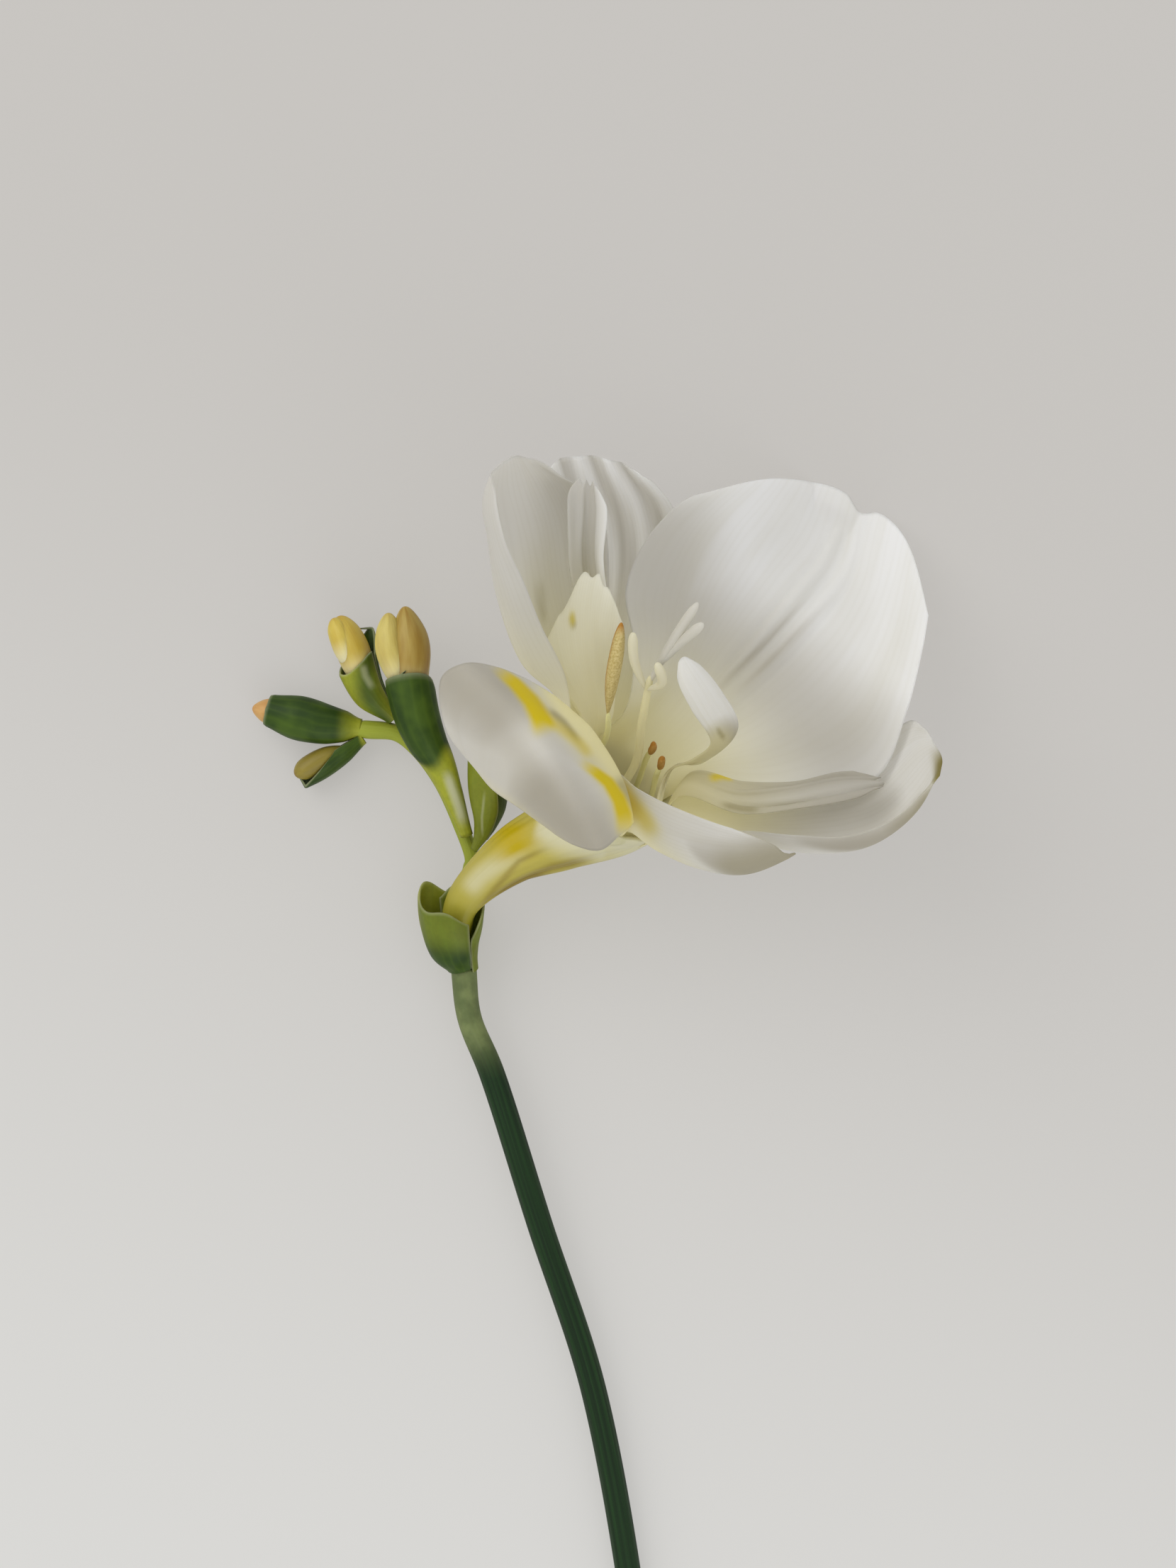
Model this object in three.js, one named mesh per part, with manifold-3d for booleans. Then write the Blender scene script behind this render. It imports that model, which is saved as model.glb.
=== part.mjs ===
// A cut white freesia: one open semi-double bloom, its two bracts, a bent spike with
// five buds, and the scape down to its cut end. It lies on a surface with the bloom
// turned up, resting on the back tepal, one bud and the end of the scape.
// Lengths are millimetres and +Z is up. Every point is written as [right, up, height],
// seen by someone who looks straight down on the flower.

import * as THREE from 'three';
import { mergeVertices } from 'three/addons/utils/BufferGeometryUtils.js';
import Module from 'manifold-3d';

const wasm = await Module();
wasm.setup();

// Driving dimensions

const TEPAL_THICKNESS = 0.65;
const PETALOID_THICKNESS = 0.6;
const BRACT_THICKNESS = 0.6;
const THROAT_CENTRE = new THREE.Vector3(3.8, -0.2, 17.1);
const BLOOM_AXIS = new THREE.Vector3(0.527, 0.628, 0.57).normalize();
const THROAT_RADIUS = 8;
const WHORL_OFFSET = 0.65;
const INNER_WHORL = THROAT_RADIUS - WHORL_OFFSET;
const OUTER_WHORL = THROAT_RADIUS + WHORL_OFFSET;
const TUBE_WALL = 0.7;
const SEAT_GAP = 0.3;
const PETALOID_SEAT = { radius: 6.3, along: -1.5 };
const FILAMENT_SEAT = { radius: 5.2, along: -4 };
const SCAPE_RADIUS = 1.6;
const STYLE_RADIUS = 0.5;
const FILAMENT_RADIUS = 0.35;
const BLUNT_END = 0.06;
const DOME_REACH = 0.2;
const FLOOR = 0;

// Directions across the bloom: far points away from the viewer, left to the viewer's left.

const UP = new THREE.Vector3(0, 0, 1);
const BLOOM_LEFT = new THREE.Vector3().crossVectors(UP, BLOOM_AXIS).normalize();
const BLOOM_FAR = new THREE.Vector3().crossVectors(BLOOM_LEFT, BLOOM_AXIS);

// Curves and the solids made along them

function vector([x, y, z]) {
  return new THREE.Vector3(x, y, z);
}

// A point of the bloom, by its angle round the axis from the far side towards the left.
function bloomPoint(radius, degrees, along = 0) {
  const angle = THREE.MathUtils.degToRad(degrees);
  return THROAT_CENTRE.clone()
    .addScaledVector(BLOOM_AXIS, along)
    .addScaledVector(BLOOM_FAR, radius * Math.cos(angle))
    .addScaledVector(BLOOM_LEFT, radius * Math.sin(angle));
}

function smoothCurve(points) {
  return new THREE.CatmullRomCurve3(points, false, 'centripetal');
}

// A smooth value through equally spaced stops, for t from 0 to 1.
function blend(stops, t) {
  const curve = new THREE.SplineCurve(stops.map((value, i) => new THREE.Vector2(i, value)));
  return curve.getPoint(t).y;
}

function solidFrom(positions, triangles) {
  const geometry = new THREE.BufferGeometry();
  geometry.setAttribute('position', new THREE.Float32BufferAttribute(positions, 3));
  geometry.setIndex(triangles);
  return geometry;
}

// The direction that a surface faces at (u, t), from its slopes there.
function facing(surface, u, t) {
  const nudge = 1e-3;
  const across = surface(Math.min(u + nudge, 1), t).sub(surface(Math.max(u - nudge, 0), t));
  const along = surface(u, Math.min(t + nudge, 1)).sub(surface(u, Math.max(t - nudge, 0)));
  return across.cross(along).normalize();
}

// A closed sheet: surface(u, t) gives its middle, and both faces share one triangulation.
// What would reach below the surface that the flower lies on is pressed flat against it.
function sheet({ surface, rows, columns, thickness }) {
  const faces = [[], []];
  for (let row = 0; row <= rows; row += 1) {
    for (let column = 0; column <= columns; column += 1) {
      const middle = surface(column / columns, row / rows);
      const normal = facing(surface, column / columns, row / rows);
      const front = middle.clone().addScaledVector(normal, thickness / 2);
      const rear = middle.clone().addScaledVector(normal, -thickness / 2);
      const lift = Math.max(FLOOR - Math.min(front.z, rear.z), 0);
      faces[0].push(front.x, front.y, front.z + lift);
      faces[1].push(rear.x, rear.y, rear.z + lift);
    }
  }
  const width = columns + 1;
  const back = width * (rows + 1);
  const triangles = [];
  for (let row = 0; row < rows; row += 1) {
    for (let column = 0; column < columns; column += 1) {
      const a = row * width + column;
      const b = a + 1;
      const c = a + width;
      const d = c + 1;
      triangles.push(a, b, d, a, d, c);
      triangles.push(back + a, back + d, back + b, back + a, back + c, back + d);
    }
  }
  const rim = [];
  for (let column = 0; column < columns; column += 1) rim.push(column);
  for (let row = 0; row < rows; row += 1) rim.push(row * width + columns);
  for (let column = columns; column > 0; column -= 1) rim.push(rows * width + column);
  for (let row = rows; row > 0; row -= 1) rim.push(row * width);
  rim.forEach((a, i) => {
    const b = rim[(i + 1) % rim.length];
    triangles.push(a, back + a, back + b, a, back + b, b);
  });
  return solidFrom([...faces[0], ...faces[1]], triangles);
}

// A petal spread over guide curves that run from its base to its tip, in order across it.
// relief(u, t) lifts its surface into folds.
function blade({ rails, relief, rows = 12, columns = 10, thickness = TEPAL_THICKNESS }) {
  const curves = rails.map(smoothCurve);
  const spread = (u, t) => smoothCurve(curves.map((curve) => curve.getPointAt(t))).getPoint(u);
  const folded = (u, t) => spread(u, t).addScaledVector(facing(spread, u, t), relief(u, t));
  return sheet({ surface: relief ? folded : spread, rows, columns, thickness });
}

// The frame of a curve at t, with one direction kept turned towards the viewer.
function frameAt(curve, t) {
  const centre = curve.getPoint(t);
  const tangent = curve.getTangent(t);
  const front = UP.clone().addScaledVector(tangent, -UP.dot(tangent)).normalize();
  const right = new THREE.Vector3().crossVectors(tangent, front);
  return { centre, front, right };
}

function ringPoint(frame, radius, degrees) {
  const angle = THREE.MathUtils.degToRad(degrees);
  return frame.centre.clone()
    .addScaledVector(frame.front, radius * Math.cos(angle))
    .addScaledVector(frame.right, radius * Math.sin(angle));
}

// A bract: a curved sheet round an axis, between two angles, whose rim height varies.
// Angle 0 is the side turned to the viewer, and 90 is its right-hand side.
function bract({ axis, radii, from, to, rim, rows = 8, columns = 12 }) {
  const curve = smoothCurve(axis.map(vector));
  const surface = (u, t) => {
    const along = t * blend(rim, u);
    const degrees = THREE.MathUtils.lerp(from, to, u);
    return ringPoint(frameAt(curve, along), blend(radii, along), degrees);
  };
  return sheet({ surface, rows, columns, thickness: BRACT_THICKNESS });
}

// Closes a rounded piece like a dome over the last stretch of its length.
function dome(t) {
  const share = Math.max(t - 1 + DOME_REACH, 0) / DOME_REACH;
  return Math.sqrt(Math.max(1 - share * share, 0));
}

// Rings of points along a curve, with one radius for each of the curve's points.
function rings({ curve, radii, sides, steps, inset = 0, rounded = false }) {
  const positions = [];
  for (let step = 0; step <= steps; step += 1) {
    const share = step / steps;
    const t = rounded ? (1 - Math.cos(Math.PI * share)) / 2 : share;
    const frame = frameAt(curve, t);
    const full = blend(radii, t) * (rounded ? dome(t) : 1);
    const radius = Math.max(full - inset, BLUNT_END);
    for (let side = 0; side < sides; side += 1) {
      positions.push(...ringPoint(frame, radius, (360 * side) / sides).toArray());
    }
  }
  return positions;
}

// A solid with round sections along a curve, closed at both ends.
function stalk({ points, radii, sides = 12, steps = 16, rounded = false }) {
  const curve = smoothCurve(points.map(vector));
  const positions = rings({ curve, radii, sides, steps, rounded });
  const start = positions.length / 3;
  positions.push(...curve.getPoint(0).toArray(), ...curve.getPoint(1).toArray());
  const last = steps * sides;
  const triangles = [];
  for (let side = 0; side < sides; side += 1) {
    const next = (side + 1) % sides;
    for (let step = 0; step < steps; step += 1) {
      const a = step * sides + side;
      const b = step * sides + next;
      triangles.push(a, b, b + sides, a, b + sides, a + sides);
    }
    triangles.push(start, next, side, start + 1, last + side, last + next);
  }
  return solidFrom(positions, triangles);
}

// A tube with a wall along a curve, open at both ends.
function hollowStalk({ points, radii, wall, sides = 20, steps = 14 }) {
  const curve = smoothCurve(points);
  const outside = rings({ curve, radii, sides, steps });
  const inside = rings({ curve, radii, sides, steps, inset: wall });
  const inner = outside.length / 3;
  const last = steps * sides;
  const triangles = [];
  for (let side = 0; side < sides; side += 1) {
    const next = (side + 1) % sides;
    for (let step = 0; step < steps; step += 1) {
      const a = step * sides + side;
      const b = step * sides + next;
      triangles.push(a, b, b + sides, a, b + sides, a + sides);
      triangles.push(inner + a, inner + b + sides, inner + b);
      triangles.push(inner + a, inner + a + sides, inner + b + sides);
    }
    triangles.push(side, inner + side, inner + next, side, inner + next, next);
    triangles.push(last + side, last + next, inner + last + next);
    triangles.push(last + side, inner + last + next, inner + last + side);
  }
  return solidFrom([...outside, ...inside], triangles);
}

// One solid from several that run into each other.
function fuse(geometries) {
  const solids = geometries.map((geometry) => {
    const merged = mergeVertices(geometry, 1e-4);
    return new wasm.Manifold(new wasm.Mesh({
      numProp: 3,
      vertProperties: new Float32Array(merged.attributes.position.array),
      triVerts: new Uint32Array(merged.index.array),
    }));
  });
  const joined = solids.reduce((sum, solid) => sum.add(solid)).getMesh();
  return solidFrom(Array.from(joined.vertProperties), Array.from(joined.triVerts));
}

// Finishes and the flower that the pieces are added to

const FINISHES = {
  tepal: { color: '#e9e8e2', roughness: 0.55 },
  tube: { color: '#d3cf8e', roughness: 0.5 },
  stamen: { color: '#c9b45a', roughness: 0.7 },
  bud: { color: '#cdb765', roughness: 0.5 },
  bract: { color: '#4c6a27', roughness: 0.55 },
  stem: { color: '#3f5b2b', roughness: 0.55 },
};

const flower = new THREE.Group();

function addPiece(name, geometry, finish) {
  const material = new THREE.MeshStandardMaterial({ metalness: 0, ...FINISHES[finish] });
  const mesh = new THREE.Mesh(geometry, material);
  mesh.name = name;
  flower.add(mesh);
}

// The scape and the bent axis of the spike, grown as one

const NODE_1 = [-15.5, -23.6, 4.6];
const NODE_2 = [-14.6, -9.4, 2.8];

function scapeAndAxis() {
  const scape = stalk({
    points: [
      [9, -124, 1.6], [6.5, -111.5, 1.8], [5, -98.5, 2.3], [0.5, -75, 3.2],
      [-6, -55, 4], [-12, -36, 4.6], [-14.8, -29, 4.7], NODE_1,
    ],
    radii: [1, 1, 1, 1, 1, 1, 0.95, 1.1].map((share) => share * SCAPE_RADIUS),
    steps: 32,
  });
  const lowerAxis = stalk({
    points: [[-15.4, -25.5, 3.9], [-15.9, -21, 1.9], [-15.6, -15, 1.6], NODE_2],
    radii: [1.1, 1.1, 1, 0.85],
    sides: 10,
    steps: 10,
  });
  const upperAxis = stalk({
    points: [
      [-14.9, -10.6, 2.5], NODE_2, [-16, -5, 2.6], [-18.5, 0.5, 2.6],
      [-21.5, 4.5, 2.9], [-24, 6.4, 3.2], [-27.5, 6.8, 3.2], [-29.6, 7, 3.2],
    ],
    radii: [0.8, 0.85, 0.95, 1, 1, 1, 1, 0.8],
    sides: 10,
  });
  return fuse([scape, lowerAxis, upperAxis]);
}

// The perianth tube, which widens to the throat, and the ovary below it

const TUBE = {
  points: [
    vector([-16.5, -18.6, 6.8]),
    vector([-15.4, -14.5, 8.2]),
    vector([-9.3, -8.8, 11]),
    vector([-3.6, -6, 12.6]),
    bloomPoint(0, 0, -4),
    bloomPoint(0, 0, -SEAT_GAP),
  ],
  radii: [1.9, 2.2, 3.4, 4.6, 6.6, THROAT_RADIUS + TUBE_WALL / 2],
  wall: TUBE_WALL,
};

const OVARY = {
  points: [[-15.7, -22.2, 5.6], [-16.2, -20.6, 6.1], [-16.5, -19, 6.7]],
  radii: [0.6, 1.3, 1],
  sides: 10,
  steps: 8,
  rounded: true,
};

// The tepals: starts lists where on the throat each guide curve begins, in degrees

const CREASE_DEPTH = 0.7;
const CREASE_PLACE = 0.52;
const CREASE_WIDTH = 0.07;
const PLEAT_DEPTH = 0.45;
const PLEATS = 3.5;

function middleCrease(u, t) {
  const groove = Math.exp(-(((u - CREASE_PLACE) / CREASE_WIDTH) ** 2));
  return -CREASE_DEPTH * groove * THREE.MathUtils.smoothstep(t, 0.2, 0.6);
}

function pleats(u, t) {
  return PLEAT_DEPTH * Math.sin(2 * Math.PI * PLEATS * u) * THREE.MathUtils.smoothstep(t, 0.3, 0.8);
}

const TEPALS = {
  tepal_back: {
    whorl: INNER_WHORL,
    starts: [52, 27, 2, -23, -48],
    rails: [
      [[4.5, 9, 17], [5.5, 16.5, 19], [4.5, 23, 20], [6.5, 28.5, 19], [10.5, 33.5, 16],
        [14.5, 36, 13.5]],
      [[10, 13, 14], [13, 22, 13], [17, 30, 10.2], [22.5, 38, 4.8]],
      [[15, 13.5, 12], [23, 23.5, 7.5], [28.5, 30, 1.5], [31, 36, -1.5]],
      [[21, 6.5, 15], [29, 12.5, 13], [35.5, 21.5, 7], [38.5, 32.5, 2.5]],
      [[14.5, 0.5, 19], [21, -1.5, 22], [28, -1.5, 24], [34.5, 1, 24], [39, 8, 21],
        [41, 16, 17], [42, 23, 12]],
    ],
    relief: middleCrease,
    columns: 14,
  },
  tepal_left: {
    whorl: INNER_WHORL,
    starts: [134, 121, 104, 85, 66],
    rails: [
      [[-2.5, 12, 28], [-5.5, 18.5, 33], [-7.5, 23.5, 37], [-9.5, 27.5, 40],
        [-10.5, 32, 41], [-10.5, 35, 39.5]],
      [[-3.5, 10, 25], [-7.5, 14, 29], [-10.5, 22, 33], [-11.5, 28.5, 35],
        [-12, 32.5, 36], [-11, 36, 36]],
      [[-2.5, 14, 19], [-5, 23.5, 21], [-6, 30, 24], [-7.5, 34.5, 28], [-8.5, 38, 33]],
      [[-0.5, 15, 18], [-1, 24.5, 18], [-2, 32, 20], [-4, 36, 24], [-7, 38, 31]],
      [[2, 14, 20], [2.5, 24.5, 20], [2, 31, 22], [0, 34.5, 25], [-3, 36, 27], [-5.5, 38, 30]],
    ],
    columns: 12,
  },
  tepal_lower: {
    whorl: INNER_WHORL,
    starts: [178, -146, -110],
    rails: [
      [[2.2, 1.8, 28], [5.8, -0.6, 32.5], [10.5, -2.9, 36.5], [14.5, -4.5, 39.5], [20.5, -6.2, 41]],
      [[8.5, -8, 26], [13, -10, 30], [17.5, -10.5, 34], [22.8, -8.2, 39]],
      [[12, -7, 24], [17.5, -7.5, 28], [22, -8.5, 32.5], [24.5, -7.5, 36.5]],
    ],
  },
  tepal_back_left: {
    whorl: OUTER_WHORL,
    starts: [88, 54, 20],
    rails: [
      [[-1.5, 16, 13], [-4, 29, 13], [-5.5, 39, 17]],
      [[3, 21.5, 9.5], [3, 31, 9.5], [0.5, 40, 13.5]],
      [[9.5, 22.5, 7], [11.5, 28, 7], [10.5, 34, 9.5], [6.5, 38.5, 12]],
    ],
    relief: pleats,
    columns: 21,
  },
  tepal_lip: {
    whorl: OUTER_WHORL,
    starts: [124, 145, 166, 187, 208],
    rails: [
      [[-2.3, 8.6, 33.5], [-5.6, 11.2, 38], [-10.5, 13.2, 42.5], [-14, 13.5, 45],
        [-16.5, 12, 43.5], [-16, 6, 40], [-13.5, 2.5, 38]],
      [[0.2, 6.4, 33.5], [-3.6, 7.6, 40], [-6.8, 9.4, 44.5], [-10, 9.5, 47], [-13.5, 7.5, 45],
        [-13.5, 3.5, 40], [-12, 0.5, 37]],
      [[2.4, 3.2, 33.5], [0.2, 3.6, 40], [-2.5, 4.5, 44], [-5.5, 4, 46.5], [-8.5, 2, 43],
        [-10.5, -1, 36.5]],
      [[4.2, -0.4, 33], [2.8, -0.2, 39], [0.5, -0.5, 43], [-2, -1.5, 44.5], [-5, -2.5, 41],
        [-7.5, -3, 36]],
      [[5.2, -4.4, 31.5], [4.8, -5, 36], [3.5, -6, 39], [1.5, -7.5, 39.5], [-1.5, -7, 38],
        [-5, -5, 36]],
    ],
  },
  tepal_right: {
    whorl: OUTER_WHORL,
    starts: [-44, -60, -76, -106],
    rails: [
      [[15.5, -1, 14], [25, 1, 13], [33.5, 3, 13.5], [38.5, 7.5, 18], [40, 6.5, 25]],
      [[18, -4, 17], [27.5, -2.5, 19], [34.5, -0.5, 22], [39, 4, 26], [40.5, 4.8, 29]],
      [[20.5, -7, 23], [27, -8, 27], [33, -7, 30], [38, -3, 33], [41, 2.5, 33]],
      [[18.5, -5.5, 27], [24, -6, 32], [30, -6, 36], [35, -4, 38], [39, -0.5, 37],
        [40.5, 1, 35.5]],
    ],
  },
};

function tepal({ whorl, starts, rails, ...shape }) {
  const seated = rails.map((rail, i) => [bloomPoint(whorl, starts[i]), ...rail.map(vector)]);
  return blade({ rails: seated, ...shape });
}

// Stamens turned into small petals, which rise from the wall of the throat

const PETALOIDS = {
  petaloid_1: {
    starts: [88, 81, 74],
    rails: [
      [[-0.1, 7.9, 19.7], [0, 15, 24], [-2.2, 26, 26.5], [-2.2, 35, 29], [-1.2, 36, 30]],
      [[1, 9, 19], [2, 15.5, 22.5], [0, 26, 24], [0, 33, 27], [0, 36.2, 29.5]],
      [[2.5, 9, 19.5], [3, 15.5, 23.5], [1.8, 26.5, 27], [2, 32.5, 29], [1.2, 35.6, 30]],
    ],
  },
  petaloid_2: {
    starts: [114, 110, 106, 102, 98],
    rails: [
      [[-0.7, 7.3, 22.8], [-4, 12.5, 26.2], [-5, 16.8, 27.2], [-4.3, 18.6, 27.4]],
      [[0, 7.5, 22.5], [-2.4, 13.5, 26], [-3.4, 18.5, 27.2], [-3.1, 20.9, 27.6]],
      [[0.8, 7.5, 22.2], [-0.5, 15, 26], [-0.6, 21, 27.8], [0.4, 26.3, 29]],
      [[1.5, 7.4, 22], [1.5, 14, 25.2], [1.7, 20, 27.4], [2.4, 24.4, 28.6]],
      [[2.6, 7.2, 21.6], [3.4, 13, 24.8], [4.1, 18, 26.8], [4.5, 21.4, 27.8]],
    ],
    columns: 8,
  },
  petaloid_3: {
    starts: [-114, -109, -104],
    rails: [
      [[9.3, 1.2, 20.5], [12.4, 3, 24.5], [14.4, 4.9, 28], [12.1, 8.6, 31], [10.4, 12, 33],
        [10.2, 13.9, 33.9]],
      [[9.8, 1.6, 20], [13, 2.8, 24], [16, 5.4, 28.6], [13.8, 9.6, 31.8], [11.6, 13, 33.8],
        [10.9, 14.6, 34.3]],
      [[10.3, 2, 20.5], [13.8, 2.6, 24.5], [17.6, 6.6, 28.5], [15.6, 10.8, 31.2],
        [13, 13.8, 33.3], [11.6, 14.8, 34.1]],
    ],
  },
  petaloid_4: {
    starts: [-96, -88, -80],
    rails: [
      [[11, -1.5, 20.5], [18, -3.5, 27], [24, -3, 29.5], [30, -1.8, 30.5], [35, -0.5, 30]],
      [[11.5, 0, 20], [18, -1.5, 25.5], [23.5, -1.2, 28.5], [29.5, 0, 28.5], [35.5, 0.3, 29]],
      [[12.5, 1.5, 20.5], [18.5, 0.3, 25], [24, 0.3, 27.5], [29.5, 1.3, 27.5], [34.5, 1.3, 28]],
    ],
  },
};

function petaloid({ starts, rails, columns = 5 }) {
  const { radius, along } = PETALOID_SEAT;
  const seated = rails.map((rail, i) => [
    bloomPoint(radius, starts[i], along),
    ...rail.map(vector),
  ]);
  return blade({ rails: seated, rows: 14, columns, thickness: PETALOID_THICKNESS });
}

// The style runs up the tube from the ovary and forks; the stamens stand round it

const STYLE_TRUNK = [
  [-16.4, -18, 7], [-15.4, -14.5, 8.2], [-9.3, -8.8, 11], [-3.6, -6, 12.6],
  [1.7, -2.7, 14.8], [5.5, 2, 18.7], [6.4, 7.5, 25], [7.3, 12.6, 30.5],
];
const STYLE_ARMS = [
  [[7, 11.5, 29.5], [9.6, 16.2, 33.5], [12.6, 20.8, 37]],
  [[7.6, 13.2, 31], [10.8, 16.4, 34.2], [13.2, 18.4, 37.2]],
  [[6.8, 11, 28.8], [8.6, 11.8, 31.5], [8, 14, 33.8]],
  [[6.8, 11, 28.8], [5.4, 14.4, 30.8], [5.2, 17.6, 32.4]],
];

function style() {
  const trunk = stalk({
    points: STYLE_TRUNK,
    radii: STYLE_TRUNK.map(() => STYLE_RADIUS),
    sides: 6,
    steps: 22,
  });
  const arms = STYLE_ARMS.map((points) => stalk({
    points,
    radii: [0.7, 0.9, 0.6].map((share) => share * STYLE_RADIUS),
    sides: 6,
    steps: 6,
  }));
  return fuse([trunk, ...arms]);
}

const STAMENS = {
  stamen_1: {
    start: 95,
    filament: [[1.1, 3.8, 18.4], [2.3, 6.1, 22.4], [2.4, 8.6, 25.6]],
    anther: [[2.3, 8, 25], [2.8, 12, 27.6], [3.4, 15.5, 29.6], [3.9, 18.8, 31.4]],
    radius: 1.1,
  },
  stamen_2: {
    start: -25,
    filament: [[6.2, 0.5, 15], [7, 3, 18.6], [7.5, 4, 20.4]],
    anther: [[7.4, 3.6, 19.8], [7.6, 4, 20.8], [7.8, 4.4, 21.8], [7.8, 5, 22.6]],
    radius: 0.5,
  },
  stamen_3: {
    start: -62,
    filament: [[7.6, -1.6, 15.6], [8.2, 1, 18.8], [8.6, 2, 20.2]],
    anther: [[8.5, 1.8, 19.8], [8.7, 2.2, 20.8], [8.8, 2.8, 21.8], [8.9, 3.2, 22.4]],
    radius: 0.5,
  },
};

function stamen({ start, filament, anther, radius }) {
  const foot = bloomPoint(FILAMENT_SEAT.radius, start, FILAMENT_SEAT.along).toArray();
  const points = [foot, ...filament];
  const thread = stalk({ points, radii: points.map(() => FILAMENT_RADIUS), sides: 6, steps: 8 });
  const sac = stalk({
    points: anther,
    radii: [0.3, 0.95, 1, 0.6].map((share) => share * radius),
    sides: 8,
    steps: 10,
    rounded: true,
  });
  return fuse([thread, sac]);
}

// Bracts: two round the open flower's ovary, the rest round the buds

const BRACTS = {
  flower_bract_outer: {
    axis: [[-15.5, -22.5, 5.3], [-16.2, -20.3, 6.2], [-16.6, -17, 7.3], [-16.6, -12.5, 8]],
    radii: [1.35, 3.1, 4.1, 4.4],
    from: 28,
    to: -200,
    rim: [0.6, 0.76, 0.8, 0.88, 1, 0.9, 0.8],
  },
  flower_bract_inner: {
    axis: [[-15.5, -22.5, 5.3], [-16.1, -20.3, 6.2], [-16.4, -17, 7.3], [-16.4, -12.5, 8]],
    radii: [0.65, 2.2, 3.3, 3.8],
    from: 40,
    to: 215,
    rim: [0.5, 0.72, 0.84, 0.76, 0.86, 0.95, 0.85],
  },
  bract_1: {
    axis: [[-15.1, -6.4, 4.9], [-17.1, -0.6, 6.3], [-18.5, 2.7, 6.9], [-19.9, 5.2, 7.4],
      [-21.2, 8.7, 7.9], [-22.3, 13.9, 8.5]],
    radii: [0.6, 1.25, 1.75, 2.3, 2.65, 2.85],
    from: 172,
    to: -172,
    rim: [0.9, 0.93, 1, 1, 1, 0.97, 0.9],
  },
  bract_2_outer: {
    axis: [[-24.2, 8.2, 3.9], [-27.2, 11.4, 4.6], [-28.9, 15.6, 5], [-29.4, 19, 5.3]],
    radii: [0.75, 2, 2.5, 2.5],
    from: 60,
    to: -175,
    rim: [0.72, 0.62, 0.56, 0.58, 0.64, 0.7],
  },
  bract_2_inner: {
    axis: [[-24.2, 8.2, 3.9], [-27, 11.4, 4.6], [-28.5, 15.6, 5], [-28.7, 19.4, 5.3]],
    radii: [0.75, 1.7, 2.1, 2.1],
    from: 72,
    to: 172,
    rim: [0.7, 0.95, 1, 0.9],
  },
  bract_3: {
    axis: [[-28.4, 7, 3.1], [-32.8, 7.5, 3], [-36, 8.2, 2.88], [-40.2, 9.3, 3]],
    radii: [1.4, 2.3, 2.6, 1.8],
    from: 171,
    to: -171,
    rim: [0.97, 0.99, 1, 1, 0.99, 0.97],
  },
  bract_4: {
    axis: [[-28.7, 5.2, 2.6], [-30.9, 4, 2.6], [-33.4, 2.6, 2.6], [-35.7, 1.4, 2.6]],
    radii: [0.7, 1.5, 1.9, 1.8],
    from: -25,
    to: -205,
    rim: [0.8, 1, 0.98, 0.8],
  },
  bract_5_outer: {
    axis: [[-13.9, -8.2, 4.3], [-12.6, -6, 5.2], [-11.9, -3.4, 6.2], [-12, 0, 7.4],
      [-11.8, 4, 8.6]],
    radii: [0.6, 1.5, 2.3, 2.7, 2.8],
    from: 18,
    to: -175,
    rim: [0.9, 1, 0.97, 0.9],
  },
  bract_5_inner: {
    axis: [[-12.9, -6.7, 4.9], [-12.4, -5.4, 5.4], [-11.9, -3, 6.3], [-12, 0, 7.4],
      [-11.8, 4, 8.6]],
    radii: [0.3, 0.7, 1.45, 1.95, 2.05],
    from: -8,
    to: 176,
    rim: [0.75, 0.9, 1, 0.9],
  },
};

// Buds: each is its rolled petals, lobes that lie against each other with their tips apart

const BUDS = {
  bud_1: [
    {
      points: [[-18.9, 2.6, 7.1], [-20.9, 8, 7.9], [-21.8, 13, 8.4], [-21.9, 17, 8.9],
        [-22.6, 21.9, 9.1]],
      radii: [0.5, 1.6, 2.1, 2.4, 1.6],
    },
    {
      points: [[-21.6, 9.5, 8.1], [-22.8, 13, 8.6], [-24.3, 16.6, 9.2], [-24.6, 21.1, 9.3]],
      radii: [0.5, 1.5, 1.9, 1.3],
    },
  ],
  bud_2: [
    {
      points: [[-25.9, 10.3, 4.4], [-28.2, 13.9, 5], [-29.4, 17, 5.5], [-31, 20.9, 5.6]],
      radii: [0.4, 1.4, 2.1, 1.5],
    },
    {
      points: [[-27.2, 12.4, 4.7], [-29.6, 16, 5.8], [-30.6, 18.4, 6], [-31.7, 20.6, 5.9]],
      radii: [0.4, 1.5, 1.6, 1.1],
    },
  ],
  bud_3: [
    {
      points: [[-31, 7.3, 3], [-35.5, 8.1, 2.9], [-39.5, 9, 3], [-42, 9.5, 3.1]],
      radii: [0.5, 1.6, 1.2, 1.15],
    },
  ],
  bud_4: [
    {
      points: [[-30, 4.8, 2.7], [-32.6, 3.5, 2.9], [-34.8, 2.2, 3], [-36.7, 1.1, 3]],
      radii: [0.3, 1, 1.2, 0.9],
    },
  ],
  bud_5: [
    {
      points: [[-12.6, -4.6, 5.7], [-12, -1, 7], [-11.4, 5, 9], [-10.4, 12, 11.5]],
      radii: [0.3, 1.2, 1.5, 0.9],
    },
  ],
};

function bud(lobes) {
  return fuse(lobes.map((lobe) => stalk({ ...lobe, sides: 10, steps: 12, rounded: true })));
}

// The whole flower, standing on its lowest points over the centre of its outline

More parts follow.
